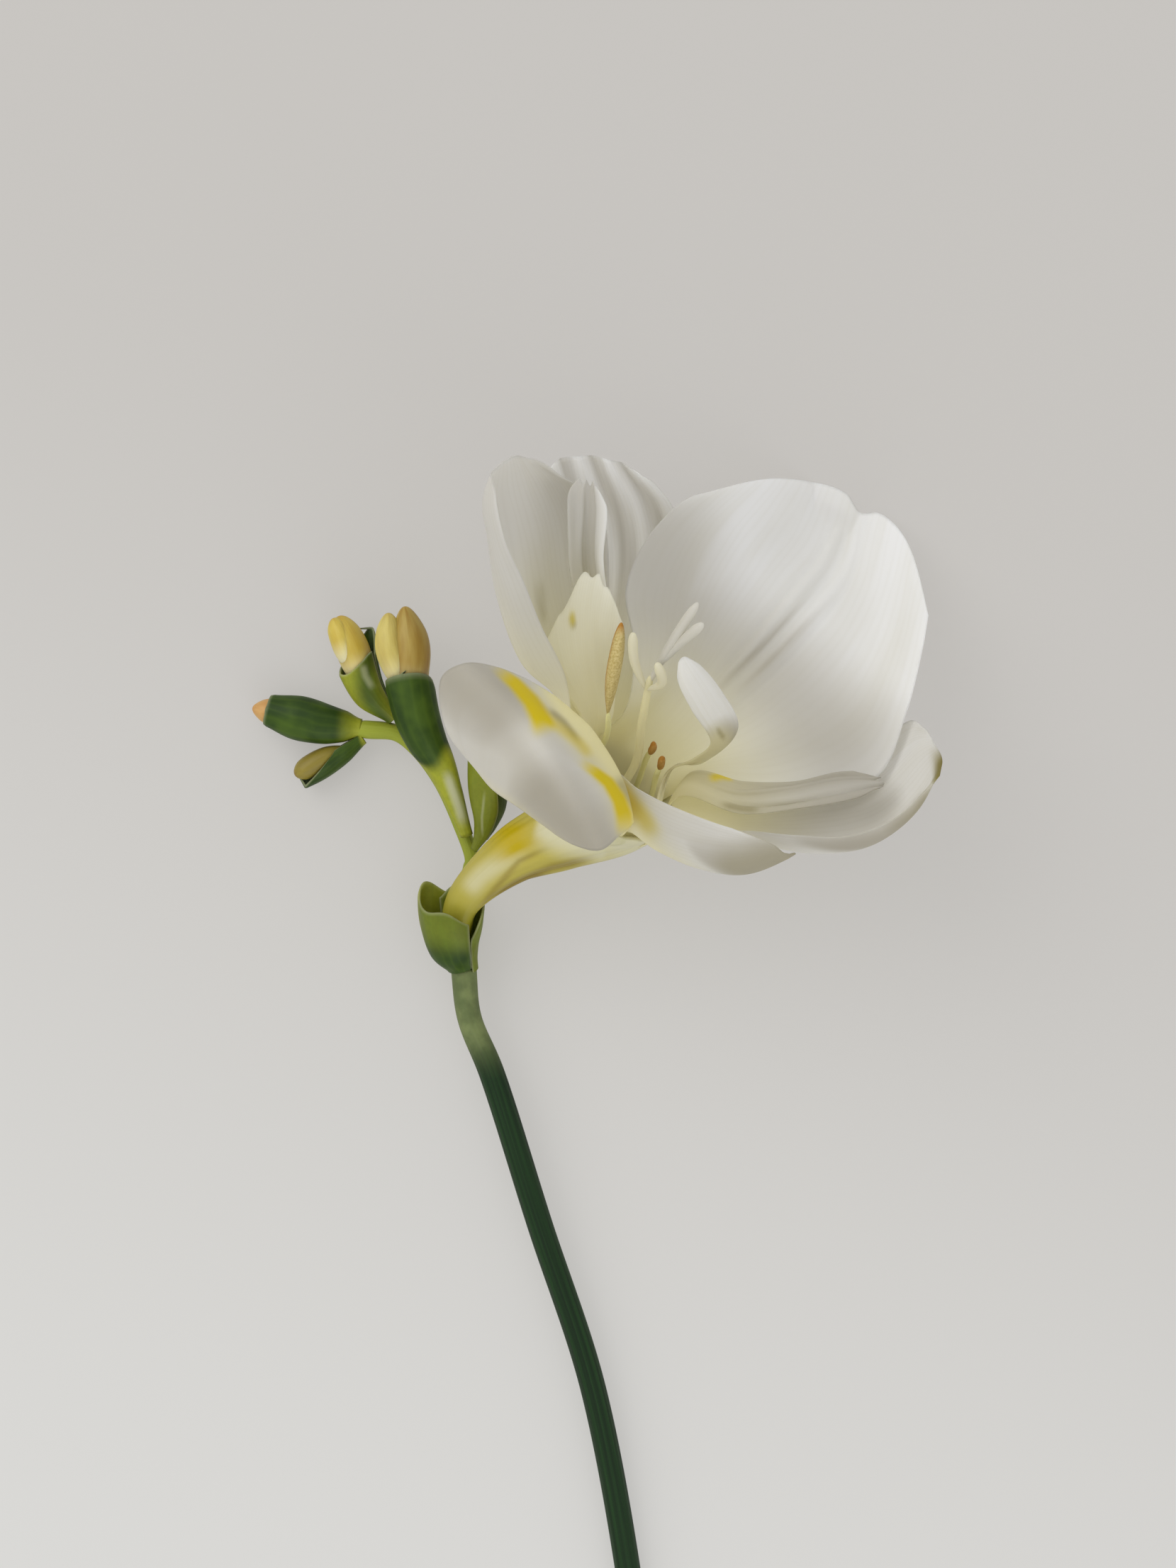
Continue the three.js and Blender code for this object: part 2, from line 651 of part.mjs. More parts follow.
addPiece('scape_and_axis', scapeAndAxis(), 'stem');
addPiece('ovary', stalk(OVARY), 'bract');
addPiece('perianth_tube', hollowStalk(TUBE), 'tube');
Object.entries(TEPALS).forEach(([name, spec]) => addPiece(name, tepal(spec), 'tepal'));
Object.entries(PETALOIDS).forEach(([name, spec]) => addPiece(name, petaloid(spec), 'tepal'));
addPiece('style', style(), 'tepal');
Object.entries(STAMENS).forEach(([name, spec]) => addPiece(name, stamen(spec), 'stamen'));
Object.entries(BRACTS).forEach(([name, spec]) => addPiece(name, bract(spec), 'bract'));
Object.entries(BUDS).forEach(([name, lobes]) => addPiece(name, bud(lobes), 'bud'));

const outline = new THREE.Box3().setFromObject(flower);
const middle = outline.getCenter(new THREE.Vector3());
flower.position.set(-middle.x, -middle.y, -outline.min.z);

export default flower;
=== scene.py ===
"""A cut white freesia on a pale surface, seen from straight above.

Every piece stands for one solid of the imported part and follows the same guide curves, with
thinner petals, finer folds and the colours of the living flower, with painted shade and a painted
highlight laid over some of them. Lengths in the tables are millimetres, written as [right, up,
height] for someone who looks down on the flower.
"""

import logging
import math
from bisect import bisect_right
from dataclasses import dataclass, field
from enum import Enum
from functools import cached_property
from itertools import accumulate
from typing import Any, Callable, Optional, Sequence

import bmesh
import bpy
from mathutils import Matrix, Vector, noise

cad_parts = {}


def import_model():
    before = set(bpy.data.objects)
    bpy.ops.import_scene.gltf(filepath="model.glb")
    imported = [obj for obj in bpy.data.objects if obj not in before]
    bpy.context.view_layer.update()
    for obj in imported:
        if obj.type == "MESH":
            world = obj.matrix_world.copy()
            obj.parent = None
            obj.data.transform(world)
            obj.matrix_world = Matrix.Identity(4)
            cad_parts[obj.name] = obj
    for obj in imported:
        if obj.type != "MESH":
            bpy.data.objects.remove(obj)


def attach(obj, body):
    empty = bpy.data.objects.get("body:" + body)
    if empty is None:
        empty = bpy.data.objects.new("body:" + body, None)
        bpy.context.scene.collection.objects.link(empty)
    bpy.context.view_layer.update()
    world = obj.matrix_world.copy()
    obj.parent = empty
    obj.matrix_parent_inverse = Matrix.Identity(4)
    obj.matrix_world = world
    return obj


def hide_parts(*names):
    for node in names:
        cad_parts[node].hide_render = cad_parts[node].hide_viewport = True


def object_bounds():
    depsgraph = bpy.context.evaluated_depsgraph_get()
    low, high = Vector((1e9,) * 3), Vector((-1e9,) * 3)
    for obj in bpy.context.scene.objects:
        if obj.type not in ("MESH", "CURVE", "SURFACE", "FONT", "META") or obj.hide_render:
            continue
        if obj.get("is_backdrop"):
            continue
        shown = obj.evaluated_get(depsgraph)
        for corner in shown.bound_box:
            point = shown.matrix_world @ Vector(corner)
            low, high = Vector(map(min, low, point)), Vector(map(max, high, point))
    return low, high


LOG = logging.getLogger("freesia")

MM = 0.001
FLOWER_PLACE = Vector((-0.06, 42.04, 0.0))
UP = Vector((0.0, 0.0, 1.0))

THROAT_CENTRE = Vector((3.8, -0.2, 17.1))
BLOOM_AXIS = Vector((0.527, 0.628, 0.57)).normalized()
BLOOM_LEFT = UP.cross(BLOOM_AXIS).normalized()
BLOOM_FAR = BLOOM_LEFT.cross(BLOOM_AXIS)
THROAT_RADIUS = 8.0
WHORL_OFFSET = 0.65
INNER_WHORL = THROAT_RADIUS - WHORL_OFFSET
OUTER_WHORL = THROAT_RADIUS + WHORL_OFFSET
CLAW_DEPTH = 4.0
INNER_CLAW = 5.7
OUTER_CLAW = 6.75

Point = Sequence[float]
Surface = Callable[[float, float], Vector]
Tone = Callable[[float, float], float]
Measure = Callable[[float, float, Vector], float]


def smooth(low: float, high: float, value: float) -> float:
    """Rises smoothly from 0 at low to 1 at high."""
    share = min(max((value - low) / (high - low), 0.0), 1.0)
    return share * share * (3.0 - 2.0 * share)


def bell(value: float, centre: float, width: float) -> float:
    """Is 1 at the centre and falls away over the width."""
    return math.exp(-(((value - centre) / width) ** 2))


def mix(a: float, b: float, share: float) -> float:
    """Goes from a to b."""
    return a + (b - a) * share


def flat(value: float) -> Tone:
    """A tone that is the same all over a sheet."""
    return lambda u, t: value


def even(value: float) -> Measure:
    """A measure that is the same all over a surface."""
    return lambda u, t, point: value


def bloom_point(radius: float, degrees: float, along: float = 0.0) -> Vector:
    """A point of the bloom.

    Args:
        radius: Distance from the bloom's axis.
        degrees: Angle round it, from the far side towards the left.
        along: Distance past the throat.

    Returns:
        The point, in millimetres.
    """
    angle = math.radians(degrees)
    across = BLOOM_FAR * math.cos(angle) + BLOOM_LEFT * math.sin(angle)
    return THROAT_CENTRE + BLOOM_AXIS * along + across * radius


class GuideCurve:
    """A smooth curve through points, with its parameter spaced by the root of their distance."""

    LENGTH_STEPS = 120

    def __init__(self, points: Sequence[Point]) -> None:
        """Keeps the points."""
        self.points = [Vector(point) for point in points]

    @cached_property
    def lengths(self) -> list[float]:
        """The length of the curve up to each of its steps.

        Returns:
            The lengths, from 0 to the whole curve's.
        """
        samples = [self.point(step / self.LENGTH_STEPS) for step in range(self.LENGTH_STEPS + 1)]
        steps = [(after - before).length for before, after in zip(samples, samples[1:])]
        return list(accumulate(steps, initial=0.0))

    def point(self, share: float) -> Vector:
        """The point at a share of the way, with each span counted alike.

        Args:
            share: Share of the way.

        Returns:
            The point.
        """
        spans = len(self.points) - 1
        place = min(max(share, 0.0), 1.0) * spans
        span = min(int(place), spans - 1)
        weight = place - span
        p1, p2 = self.points[span], self.points[span + 1]
        p0 = self.points[span - 1] if span > 0 else p1 * 2.0 - p2
        p3 = self.points[span + 2] if span + 2 <= spans else p2 * 2.0 - p1
        return catmull(p0, p1, p2, p3, weight)

    def at_length(self, share: float) -> Vector:
        """The point at a share of the curve's length.

        Args:
            share: Share of the length.

        Returns:
            The point.
        """
        target = share * self.lengths[-1]
        high = min(bisect_right(self.lengths, target), self.LENGTH_STEPS)
        low = high - 1
        span = max(self.lengths[high] - self.lengths[low], 1e-9)
        return self.point((low + (target - self.lengths[low]) / span) / self.LENGTH_STEPS)

    def tangent(self, share: float) -> Vector:
        """The direction of the curve at a share of the way."""
        nudge = 1e-3
        return (self.point(min(share + nudge, 1.0)) - self.point(max(share - nudge, 0.0))).normalized()


def catmull(p0: Vector, p1: Vector, p2: Vector, p3: Vector, weight: float) -> Vector:
    """One span of a centripetal Catmull-Rom curve.

    Args:
        p0: The point before the span.
        p1: The span's start.
        p2: The span's end.
        p3: The point after the span.
        weight: Share of the way from p1 to p2.

    Returns:
        The point of the curve.
    """
    gap0 = math.sqrt((p1 - p0).length)
    gap1 = math.sqrt((p2 - p1).length)
    gap2 = math.sqrt((p3 - p2).length)
    gap1 = gap1 if gap1 > 1e-4 else 1.0
    gap0 = gap0 if gap0 > 1e-4 else gap1
    gap2 = gap2 if gap2 > 1e-4 else gap1
    start = ((p1 - p0) / gap0 - (p2 - p0) / (gap0 + gap1) + (p2 - p1) / gap1) * gap1
    end = ((p2 - p1) / gap1 - (p3 - p1) / (gap1 + gap2) + (p3 - p2) / gap2) * gap1
    c2 = p1 * -3.0 + p2 * 3.0 - start * 2.0 - end
    c3 = p1 * 2.0 - p2 * 2.0 + start + end
    return p1 + start * weight + c2 * weight**2 + c3 * weight**3


def blend(stops: Sequence[float], share: float) -> float:
    """A smooth value through equally spaced stops.

    Args:
        stops: The values to pass through.
        share: Share of the way from the first to the last.

    Returns:
        The value there.
    """
    place = min(max(share, 0.0), 1.0) * (len(stops) - 1)
    span = min(int(place), len(stops) - 2)
    weight = place - span
    p1, p2 = stops[span], stops[span + 1]
    p0 = stops[max(span - 1, 0)]
    p3 = stops[min(span + 2, len(stops) - 1)]
    start, end = (p2 - p0) / 2.0, (p3 - p1) / 2.0
    c2 = 3.0 * (p2 - p1) - 2.0 * start - end
    c3 = 2.0 * (p1 - p2) + start + end
    return p1 + start * weight + c2 * weight**2 + c3 * weight**3


def facing(surface: Surface, u: float, t: float) -> Vector:
    """The direction that a surface faces.

    Args:
        surface: The surface.
        u: Place across it, from 0 to 1.
        t: Place along it, from 0 to 1.

    Returns:
        The direction, one unit long.
    """
    nudge = 2e-3
    across = surface(min(u + nudge, 1.0), t) - surface(max(u - nudge, 0.0), t)
    along = surface(u, min(t + nudge, 1.0)) - surface(u, max(t - nudge, 0.0))
    return across.cross(along).normalized()


def ring_point(curve: GuideCurve, share: float, radius: float, degrees: float) -> Vector:
    """A point round a curve.

    Args:
        curve: The curve in the middle.
        share: How far along it.
        radius: Distance from the curve.
        degrees: Angle round it, from the viewer's side towards the right-hand side.

    Returns:
        The point, in millimetres.
    """
    tangent = curve.tangent(share)
    front = (UP - tangent * UP.dot(tangent)).normalized()
    right = tangent.cross(front)
    angle = math.radians(degrees)
    return curve.point(share) + (front * math.cos(angle) + right * math.sin(angle)) * radius


class Slot(Enum):
    """The record's material slots."""

    PETAL = "petal"
    TUBE = "tube"
    POLLEN = "pollen"
    BUD = "bud"
    BRACT = "bract"
    STEM = "stem"


@dataclass
class Skin:
    """A surface over the unit square, from which a mesh is made.

    paint names measures of the surface that the materials read, and closed joins its two sides.
    """

    surface: Surface
    rows: int
    columns: int
    paint: dict[str, Measure] = field(default_factory=dict)
    closed: bool = False

    def fill(self, mesh: bmesh.types.BMesh) -> None:
        """Adds the surface to a mesh, with its spread and its measures.

        Args:
            mesh: The mesh that it joins.
        """
        if mesh.loops.layers.uv.get("spread") is None:
            mesh.loops.layers.uv.new("spread")
        for name in self.paint:
            if mesh.verts.layers.float.get(name) is None:
                mesh.verts.layers.float.new(name)
        layers = {name: mesh.verts.layers.float.get(name) for name in self.paint}
        spread = mesh.loops.layers.uv.get("spread")
        grid = bmesh.ops.create_grid(mesh, x_segments=self.columns, y_segments=self.rows, size=0.5)
        verts = list(grid["verts"])
        places = {vert: (vert.co.x + 0.5, vert.co.y + 0.5) for vert in verts}
        for face in {face for vert in verts for face in vert.link_faces}:
            face.smooth = True
            for loop in face.loops:
                loop[spread].uv = places[loop.vert]
        for vert in verts:
            u, t = places[vert]
            point = self.surface(u, t)
            for name, measure in self.paint.items():
                vert[layers[name]] = measure(u, t, point)
            vert.co = (point + FLOWER_PLACE) * MM
        if self.closed:
            bmesh.ops.remove_doubles(mesh, verts=verts, dist=1e-7)


def make_piece(name: str, skins: Sequence[Skin], closed: bool = True) -> bpy.types.Object:
    """Makes an object from surfaces.

    Args:
        name: The piece's name.
        skins: Its surfaces.
        closed: Whether each is a closed skin, whose faces are turned outwards.

    Returns:
        The new object.
    """
    mesh = bmesh.new()
    for skin in skins:
        skin.fill(mesh)
    if closed:
        bmesh.ops.recalc_face_normals(mesh, faces=mesh.faces)
    data = bpy.data.meshes.new(name)
    mesh.to_mesh(data)
    mesh.free()
    piece = bpy.data.objects.new(name, data)
    bpy.context.scene.collection.objects.link(piece)
    return piece


def thicken(piece: bpy.types.Object, thickness: float, thin_edge: float) -> None:
    """Gives a sheet its thickness, less towards its margins.

    Args:
        piece: The sheet, whose margin measure is 0 at its edges and 1 inside.
        thickness: Thickness inside, in millimetres.
        thin_edge: Share of it that is left at the edges.
    """
    group = piece.vertex_groups.new(name="body")
    for index, item in enumerate(piece.data.attributes["margin"].data):
        group.add([index], item.value, "REPLACE")
    solidify = piece.modifiers.new("thickness", "SOLIDIFY")
    solidify.thickness = thickness * MM
    solidify.offset = 0.0
    solidify.vertex_group = group.name
    solidify.thickness_vertex_group = thin_edge


def inside_margin(u: float, t: float, side: float = 0.05, tip: float = 0.04) -> float:
    """How far a place is from the side and tip edges of its sheet.

    Args:
        u: Place across the sheet, from 0 to 1.
        t: Place along it, from 0 to 1.
        side: Width of the margin at the sides.
        tip: Width of the margin at the tip.

    Returns:
        A share from 0 at an edge to 1 inside the margin.
    """
    across = min(u, 1.0 - u) / side
    along = (1.0 - t) / tip
    return min(max(min(across, along), 0.0), 1.0)


def hand_in(piece: bpy.types.Object, node: str, slot: Slot, material: bpy.types.Material) -> None:
    """Dresses a piece and puts it in its CAD node's place.

    Args:
        piece: The finished piece.
        node: The node that it stands for.
        slot: Not used.
        material: The material.
    """
    piece.data.materials.append(material)
    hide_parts(node)
    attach(piece, "root")
    LOG.info("%s: %d faces", piece.name, len(piece.data.polygons))


# Colours and the small parts that the finishes are made of


def linear(colour: str) -> tuple[float, float, float, float]:
    """Turns an sRGB hex colour into linear light.

    Args:
        colour: The colour, as a mark and three pairs of hex digits.

    Returns:
        Red, green, blue and full alpha.
    """
    channels = [int(colour[start : start + 2], 16) / 255.0 for start in (1, 3, 5)]
    light = [c / 12.92 if c <= 0.04045 else ((c + 0.055) / 1.055) ** 2.4 for c in channels]
    return (*light, 1.0)


@dataclass(frozen=True)
class Gloss:
    """How a surface shines: its roughness, its index of refraction and how much it reflects."""

    roughness: float
    index: float = 1.5
    reflection: float = 0.5


@dataclass(frozen=True)
class Flesh:
    """How light spreads inside thick tissue: how much of it does, and how far for each colour."""

    weight: float
    reach: tuple[float, float, float]


class Palette:
    """A material's node tree, with the few steps that these finishes share."""

    def __init__(self, name: str) -> None:
        """Starts a material with an empty tree.

        Args:
            name: The material's name.
        """
        self.material = bpy.data.materials.new(name)
        self.material.use_nodes = True
        self.tree = self.material.node_tree
        self.tree.nodes.clear()

    def add(self, kind: str, inputs: Optional[dict[Any, Any]] = None, **settings: Any) -> bpy.types.Node:
        """Adds a node with its settings and links.

        Args:
            kind: The node's type, without its common beginning.
            inputs: Values or sockets, by the name or number of the input.
            settings: Other properties of the node.

        Returns:
            The new node.
        """
        node = self.tree.nodes.new("ShaderNode" + kind)
        for key, value in settings.items():
            setattr(node, key, value)
        for key, value in (inputs or {}).items():
            socket = node.inputs[key]
            if isinstance(value, bpy.types.NodeSocket):
                self.tree.links.new(value, socket)
            else:
                socket.default_value = value
        return node

    def math(self, operation: str, *values: Any, clamp: bool = False) -> bpy.types.NodeSocket:
        """A sum of numbers and sockets."""
        inputs = dict(enumerate(values))
        return self.add("Math", inputs, operation=operation, use_clamp=clamp).outputs[0]

    def measure(self, name: str) -> bpy.types.NodeSocket:
        """A measure that was painted on the mesh."""
        return self.add("Attribute", attribute_name=name).outputs["Fac"]

    def spread(self) -> bpy.types.NodeSocket:
        """The place on a piece's sheet: across it, then along it."""
        return self.add("UVMap", uv_map="spread").outputs[0]

    def mixed(self, share: Any, first: Any, second: Any, mode: str = "MIX") -> bpy.types.NodeSocket:
        """A mix of two colours.

        Args:
            share: How much of the second one it has.
            first: A hex colour or a socket.
            second: A hex colour or a socket.
            mode: How the second is laid over the first.

        Returns:
            The mixed colour.
        """
        colours = [linear(value) if isinstance(value, str) else value for value in (first, second)]
        inputs = {0: share, 6: colours[0], 7: colours[1]}
        return self.add("Mix", inputs, data_type="RGBA", blend_type=mode).outputs[2]

    def layered(self, colour: Any, **layers: str) -> bpy.types.NodeSocket:
        """Lays colours over one another, each where the measure of its name is painted.

        Args:
            colour: The hex colour or socket underneath.
            layers: The colour of each layer, by its measure.

        Returns:
            The colour with its layers.
        """
        for name, layer in layers.items():
            colour = self.mixed(self.measure(name), colour, layer)
        return colour

    def between(self, value: Any, low: float, high: float) -> bpy.types.NodeSocket:
        """Rises smoothly from 0 to 1 as a value goes from low to high."""
        inputs = {"Value": value, "From Min": low, "From Max": high}
        return self.add("MapRange", inputs, interpolation_type="SMOOTHSTEP").outputs[0]

    def veins(self, count: float, drift: float, reach: float = 2.0) -> bpy.types.NodeSocket:
        """Thin lines that run along a sheet.

        Args:
            count: Lines across the sheet.
            drift: How far they wander, in line spacings.
            reach: How often the wander changes along the sheet.

        Returns:
            A value that is 1 on a line and 0 between lines.
        """
        lines_together = 3.0
        sharpness = 3.0
        parts = self.add("SeparateXYZ", {0: self.spread()}).outputs
        along = self.math("MULTIPLY", parts[1], reach)
        across = self.math("MULTIPLY", parts[0], count / lines_together)
        place = self.add("CombineXYZ", {0: across, 1: along}).outputs[0]
        wander = self.add("TexNoise", {"Vector": place, "Scale": 1.0, "Detail": 2.0}).outputs[0]
        shift = self.math("MULTIPLY", wander, drift * math.tau)
        turns = self.math("MULTIPLY_ADD", parts[0], count * math.tau, shift)
        wave = self.math("MULTIPLY_ADD", self.math("SINE", turns), 0.5, 0.5)
        return self.math("POWER", wave, sharpness)

    def streaks(self, count: float, reach: float, detail: float = 3.0) -> bpy.types.NodeSocket:
        """Soft streaks that run along a sheet.

        Args:
            count: Streaks across the sheet, more or less.
            reach: How often they change along it.
            detail: How many finer layers they have.

        Returns:
            A value from 0 to 1.
        """
        inputs = {"Vector": self.spread(), "Scale": (count, reach, 1.0)}
        place = self.add("Mapping", inputs).outputs[0]
        return self.add("TexNoise", {"Vector": place, "Scale": 1.0, "Detail": detail}).outputs[0]

    def grain(self, size: float, detail: float = 2.0) -> bpy.types.NodeSocket:
        """Even grain.

        Args:
            size: Width of a grain, in millimetres.
            detail: How many finer layers it has.

        Returns:
            A value from 0 to 1.
        """
        place = self.add("TexCoord").outputs["Object"]
        inputs = {"Vector": place, "Scale": 1.0 / (size * MM), "Detail": detail}
        return self.add("TexNoise", inputs).outputs[0]

    def grainy(self, height: Any, size: float, share: float) -> bpy.types.NodeSocket:
        """A height with some fine grain on it."""
        return self.math("MULTIPLY_ADD", self.grain(size), share, height)

    def bump(self, height: Any, depth: float, strength: float = 1.0) -> bpy.types.NodeSocket:
        """A bumped normal.

        Args:
            height: The height, from 0 to 1.
            depth: What 1 stands for, in millimetres.
            strength: How much of it shows.

        Returns:
            The normal.
        """
        inputs = {"Height": height, "Distance": depth * MM, "Strength": strength}
        return self.add("Bump", inputs).outputs[0]

    def skin(self, colour: Any, normal: Any, gloss: Gloss, **more: Any) -> bpy.types.NodeSocket:
        """The shader of a surface.

        Args:
            colour: Its colour.
            normal: Its bumped normal.
            gloss: How it shines.
            more: Its other inputs, by their names with an underscore for each space.

        Returns:
            The shader.
        """
        inputs = {name.replace("_", " "): value for name, value in more.items()}
        inputs |= {"Base Color": colour, "Normal": normal, "Roughness": gloss.roughness}
        inputs |= {"IOR": gloss.index, "Specular IOR Level": gloss.reflection}
        return self.add("BsdfPrincipled", inputs).outputs[0]

    def finish(self, shader: bpy.types.NodeSocket) -> bpy.types.Material:
        """Ends the tree with a shader."""
        self.add("OutputMaterial", {"Surface": shader})
        return self.material

    def finish_mixed(self, share: float, skin: Any, second: Any) -> bpy.types.Material:
        """Ends the tree with a mix of two shaders."""
        return self.finish(self.add("MixShader", {0: share, 1: skin, 2: second}).outputs[0])

    def finish_thin(self, share: float, skin: Any, light: Any, normal: Any) -> bpy.types.Material:
        """Ends the tree with a thin sheet that light passes through.

        Args:
            share: How much light goes through.
            skin: The shader of its surface.
            light: The colour of the light that has passed.
            normal: Its bumped normal.

        Returns:
            The material.
        """
        through = self.add("BsdfTranslucent", {"Color": light, "Normal": normal})
        return self.finish_mixed(share, skin, through.outputs[0])

    def finish_thick(self, colour: Any, normal: Any, gloss: Gloss, flesh: Flesh) -> bpy.types.Material:
        """Ends the tree with thick tissue that light goes a little way into.

        Args:
            colour: Its colour.
            normal: Its bumped normal.
            gloss: How its surface shines.
            flesh: How light spreads inside it.

        Returns:
            The material.
        """
        return self.finish(
            self.skin(
                colour, normal, gloss,
                Subsurface_Weight=flesh.weight, Subsurface_Radius=flesh.reach, Subsurface_Scale=MM,
            )
        )


@dataclass(frozen=True)
class PetalFinish:
    """Living petal: thin, watery tissue that light passes through, with fine veins and a soft gloss.

    It reads throat (yellow-green low in the bloom), blotch (yellow bands), olive (greenish places, and
    painted shade in a few places), shade (painted shade, where the petals lie in shade) and veined
    (how much the veins show).
    """

    name: str = "living_white_petal"
    white: str = "#fbfbfa"
    warm: str = "#f4f3ee"
    throat: str = "#faf5ce"
    blotch: str = "#f1e02a"
    # olive: greenish tissue, and also the colour of painted shade in a few places
    olive: str = "#a3985c"
    # shade: the colour of painted shade, where the petals lie in shade
    shade: str = "#c9c4b6"
    vein: str = "#dedbd0"
    glow: str = "#fbfbfa"
    vein_count: float = 34.0
    vein_share: float = 0.35
    light_through: float = 0.6
    gloss: Gloss = Gloss(0.46, 1.38, 0.35)
    sheen: float = 0.06

    def build(self) -> bpy.types.Material:
        """Makes the material.

        Returns:
            The material.
        """
        palette = Palette(self.name)
        veins = palette.veins(self.vein_count, drift=2.2)
        veins = palette.math("MULTIPLY", veins, palette.measure("veined"))
        warmth = palette.between(palette.streaks(count=6.0, reach=1.1), 0.35, 0.75)
        colour = palette.mixed(warmth, self.white, self.warm)
        colour = palette.mixed(palette.math("MULTIPLY", veins, self.vein_share), colour, self.vein)
        colour = palette.layered(
            colour, shade=self.shade, throat=self.throat, olive=self.olive, blotch=self.blotch
        )
        normal = palette.bump(palette.grainy(veins, size=0.35, share=0.3), depth=0.015, strength=0.5)
        skin = palette.skin(colour, normal, self.gloss, Sheen_Weight=self.sheen)
        light = palette.mixed(0.5, colour, self.glow, "MULTIPLY")
        return palette.finish_thin(self.light_through, skin, light, normal)


@dataclass(frozen=True)
class TubeFinish:
    """The perianth tube: smooth waxy tissue, green at its foot and pale yellow towards the throat."""

    name: str = "waxy_perianth_tube"
    foot: str = "#a09b22"
    middle: str = "#bbae4e"
    # pale: the tube's pale tissue, and also the colour of a painted highlight along its middle
    pale: str = "#d8d4b2"
    blotch: str = "#bda600"
    # fold: the colour of painted shade in the creases and along the lower side
    fold: str = "#8f7c30"
    line_share: float = 0.35
    light_through: float = 0.2
    gloss: Gloss = Gloss(0.38, 1.4, 0.4)

    def build(self) -> bpy.types.Material:
        """Makes the material.

        Returns:
            The material.
        """
        palette = Palette(self.name)
        streaks = palette.streaks(count=26.0, reach=1.6)
        colour = palette.layered(self.middle, foot=self.foot, pale=self.pale, blotch=self.blotch)
        lines = palette.math("MULTIPLY", palette.between(streaks, 0.5, 0.8), self.line_share)
        colour = palette.mixed(lines, colour, self.foot)
        colour = palette.layered(colour, fold=self.fold)
        normal = palette.bump(palette.grainy(streaks, size=0.3, share=0.25), depth=0.08, strength=0.6)
        skin = palette.skin(colour, normal, self.gloss)
        return palette.finish_thin(self.light_through, skin, colour, normal)


@dataclass(frozen=True)
class BractFinish:
    """Fleshy green bract: leaf tissue with raised parallel veins and a thin papery pale margin."""

    name: str = "green_bract"
    dark: str = "#2b4211"
    light: str = "#465e1a"
    young: str = "#aaad34"
    papery: str = "#c9caa0"
    vein: str = "#74902c"
    vein_count: float = 13.0
    vein_share: float = 0.08
    speckle_share: float = 0.15
    light_through: float = 0.22
    gloss: Gloss = Gloss(0.42, 1.42, 0.28)

    def build(self) -> bpy.types.Material:
        """Makes the material.

        Returns:
            The material.
        """
        palette = Palette(self.name)
        veins = palette.veins(self.vein_count, drift=1.5, reach=1.5)
        patches = palette.between(palette.grain(size=4.0, detail=4.0), 0.35, 0.7)
        speckle = palette.between(palette.grain(size=0.5, detail=3.0), 0.3, 0.8)
        colour = palette.layered(palette.mixed(patches, self.dark, self.light), young=self.young)
        colour = palette.mixed(palette.math("MULTIPLY", veins, self.vein_share), colour, self.vein)
        colour = palette.mixed(palette.math("MULTIPLY", speckle, self.speckle_share), colour, self.dark)
        colour = palette.layered(colour, papery=self.papery)
        height = palette.math("MULTIPLY_ADD", speckle, 0.3, veins)
        normal = palette.bump(height, depth=0.02, strength=0.5)
        skin = palette.skin(colour, normal, self.gloss)
        return palette.finish_thin(self.light_through, skin, colour, normal)


@dataclass(frozen=True)
class StemFinish:
    """Green stem: ribbed and smooth, with a pale waxy coat under the bloom that rubs off lower down."""

    name: str = "ribbed_green_stem"
    dark: str = "#0f220c"
    light: str = "#1c3817"
    waxy: str = "#747e4e"
    young: str = "#a3ab38"
    pith: str = "#b9c08a"
    thin_coat: float = 0.55
    mottled_coat: float = 0.35
    gloss: Gloss = Gloss(0.45, 1.42, 0.22)
    flesh: Flesh = Flesh(0.12, (0.4, 0.6, 0.2))

    def build(self) -> bpy.types.Material:
        """Makes the material.

        Returns:
            The material.
        """
        palette = Palette(self.name)
        ribs = palette.streaks(count=22.0, reach=5.0)
        mottle = palette.between(palette.grain(size=2.2, detail=3.0), 0.35, 0.7)
        colour = palette.mixed(palette.between(ribs, 0.3, 0.75), self.dark, self.light)
        coat = palette.math("MULTIPLY_ADD", mottle, self.mottled_coat, self.thin_coat)
        coat = palette.math("MULTIPLY", palette.measure("waxy"), coat, clamp=True)
        colour = palette.mixed(coat, colour, self.waxy)
        colour = palette.layered(colour, young=self.young, pith=self.pith)
        normal = palette.bump(palette.grainy(ribs, size=0.4, share=0.3), depth=0.12, strength=0.7)
        return palette.finish_thick(colour, normal, self.gloss, self.flesh)


@dataclass(frozen=True)
class BudFinish:
    """Rolled bud petals: firm waxy tissue, cream to ochre by its tone, with streaks and a pale foot."""

    name: str
    cream: str
    ochre: str
    foot: str = "#ddd6ac"
    tip: str = "#9b7b2c"
    streak_share: float = 0.5
    gloss: Gloss = Gloss(0.4, 1.4, 0.4)
    flesh: Flesh = Flesh(0.2, (1.0, 0.8, 0.3))

    def build(self) -> bpy.types.Material:
        """Makes the material.

        Returns:
            The material.
        """
        palette = Palette(self.name)
        streaks = palette.between(palette.streaks(count=6.0, reach=1.6, detail=4.0), 0.32, 0.7)
        tone = palette.measure("tone")
        tone = palette.math("MULTIPLY_ADD", streaks, self.streak_share, tone, clamp=True)
        colour = palette.mixed(tone, self.cream, self.ochre)
        colour = palette.layered(colour, foot=self.foot, tip=self.tip)
        fine = palette.streaks(count=40.0, reach=2.0)
        normal = palette.bump(palette.grainy(fine, size=0.4, share=0.3), depth=0.06, strength=0.6)
        return palette.finish_thick(colour, normal, self.gloss, self.flesh)


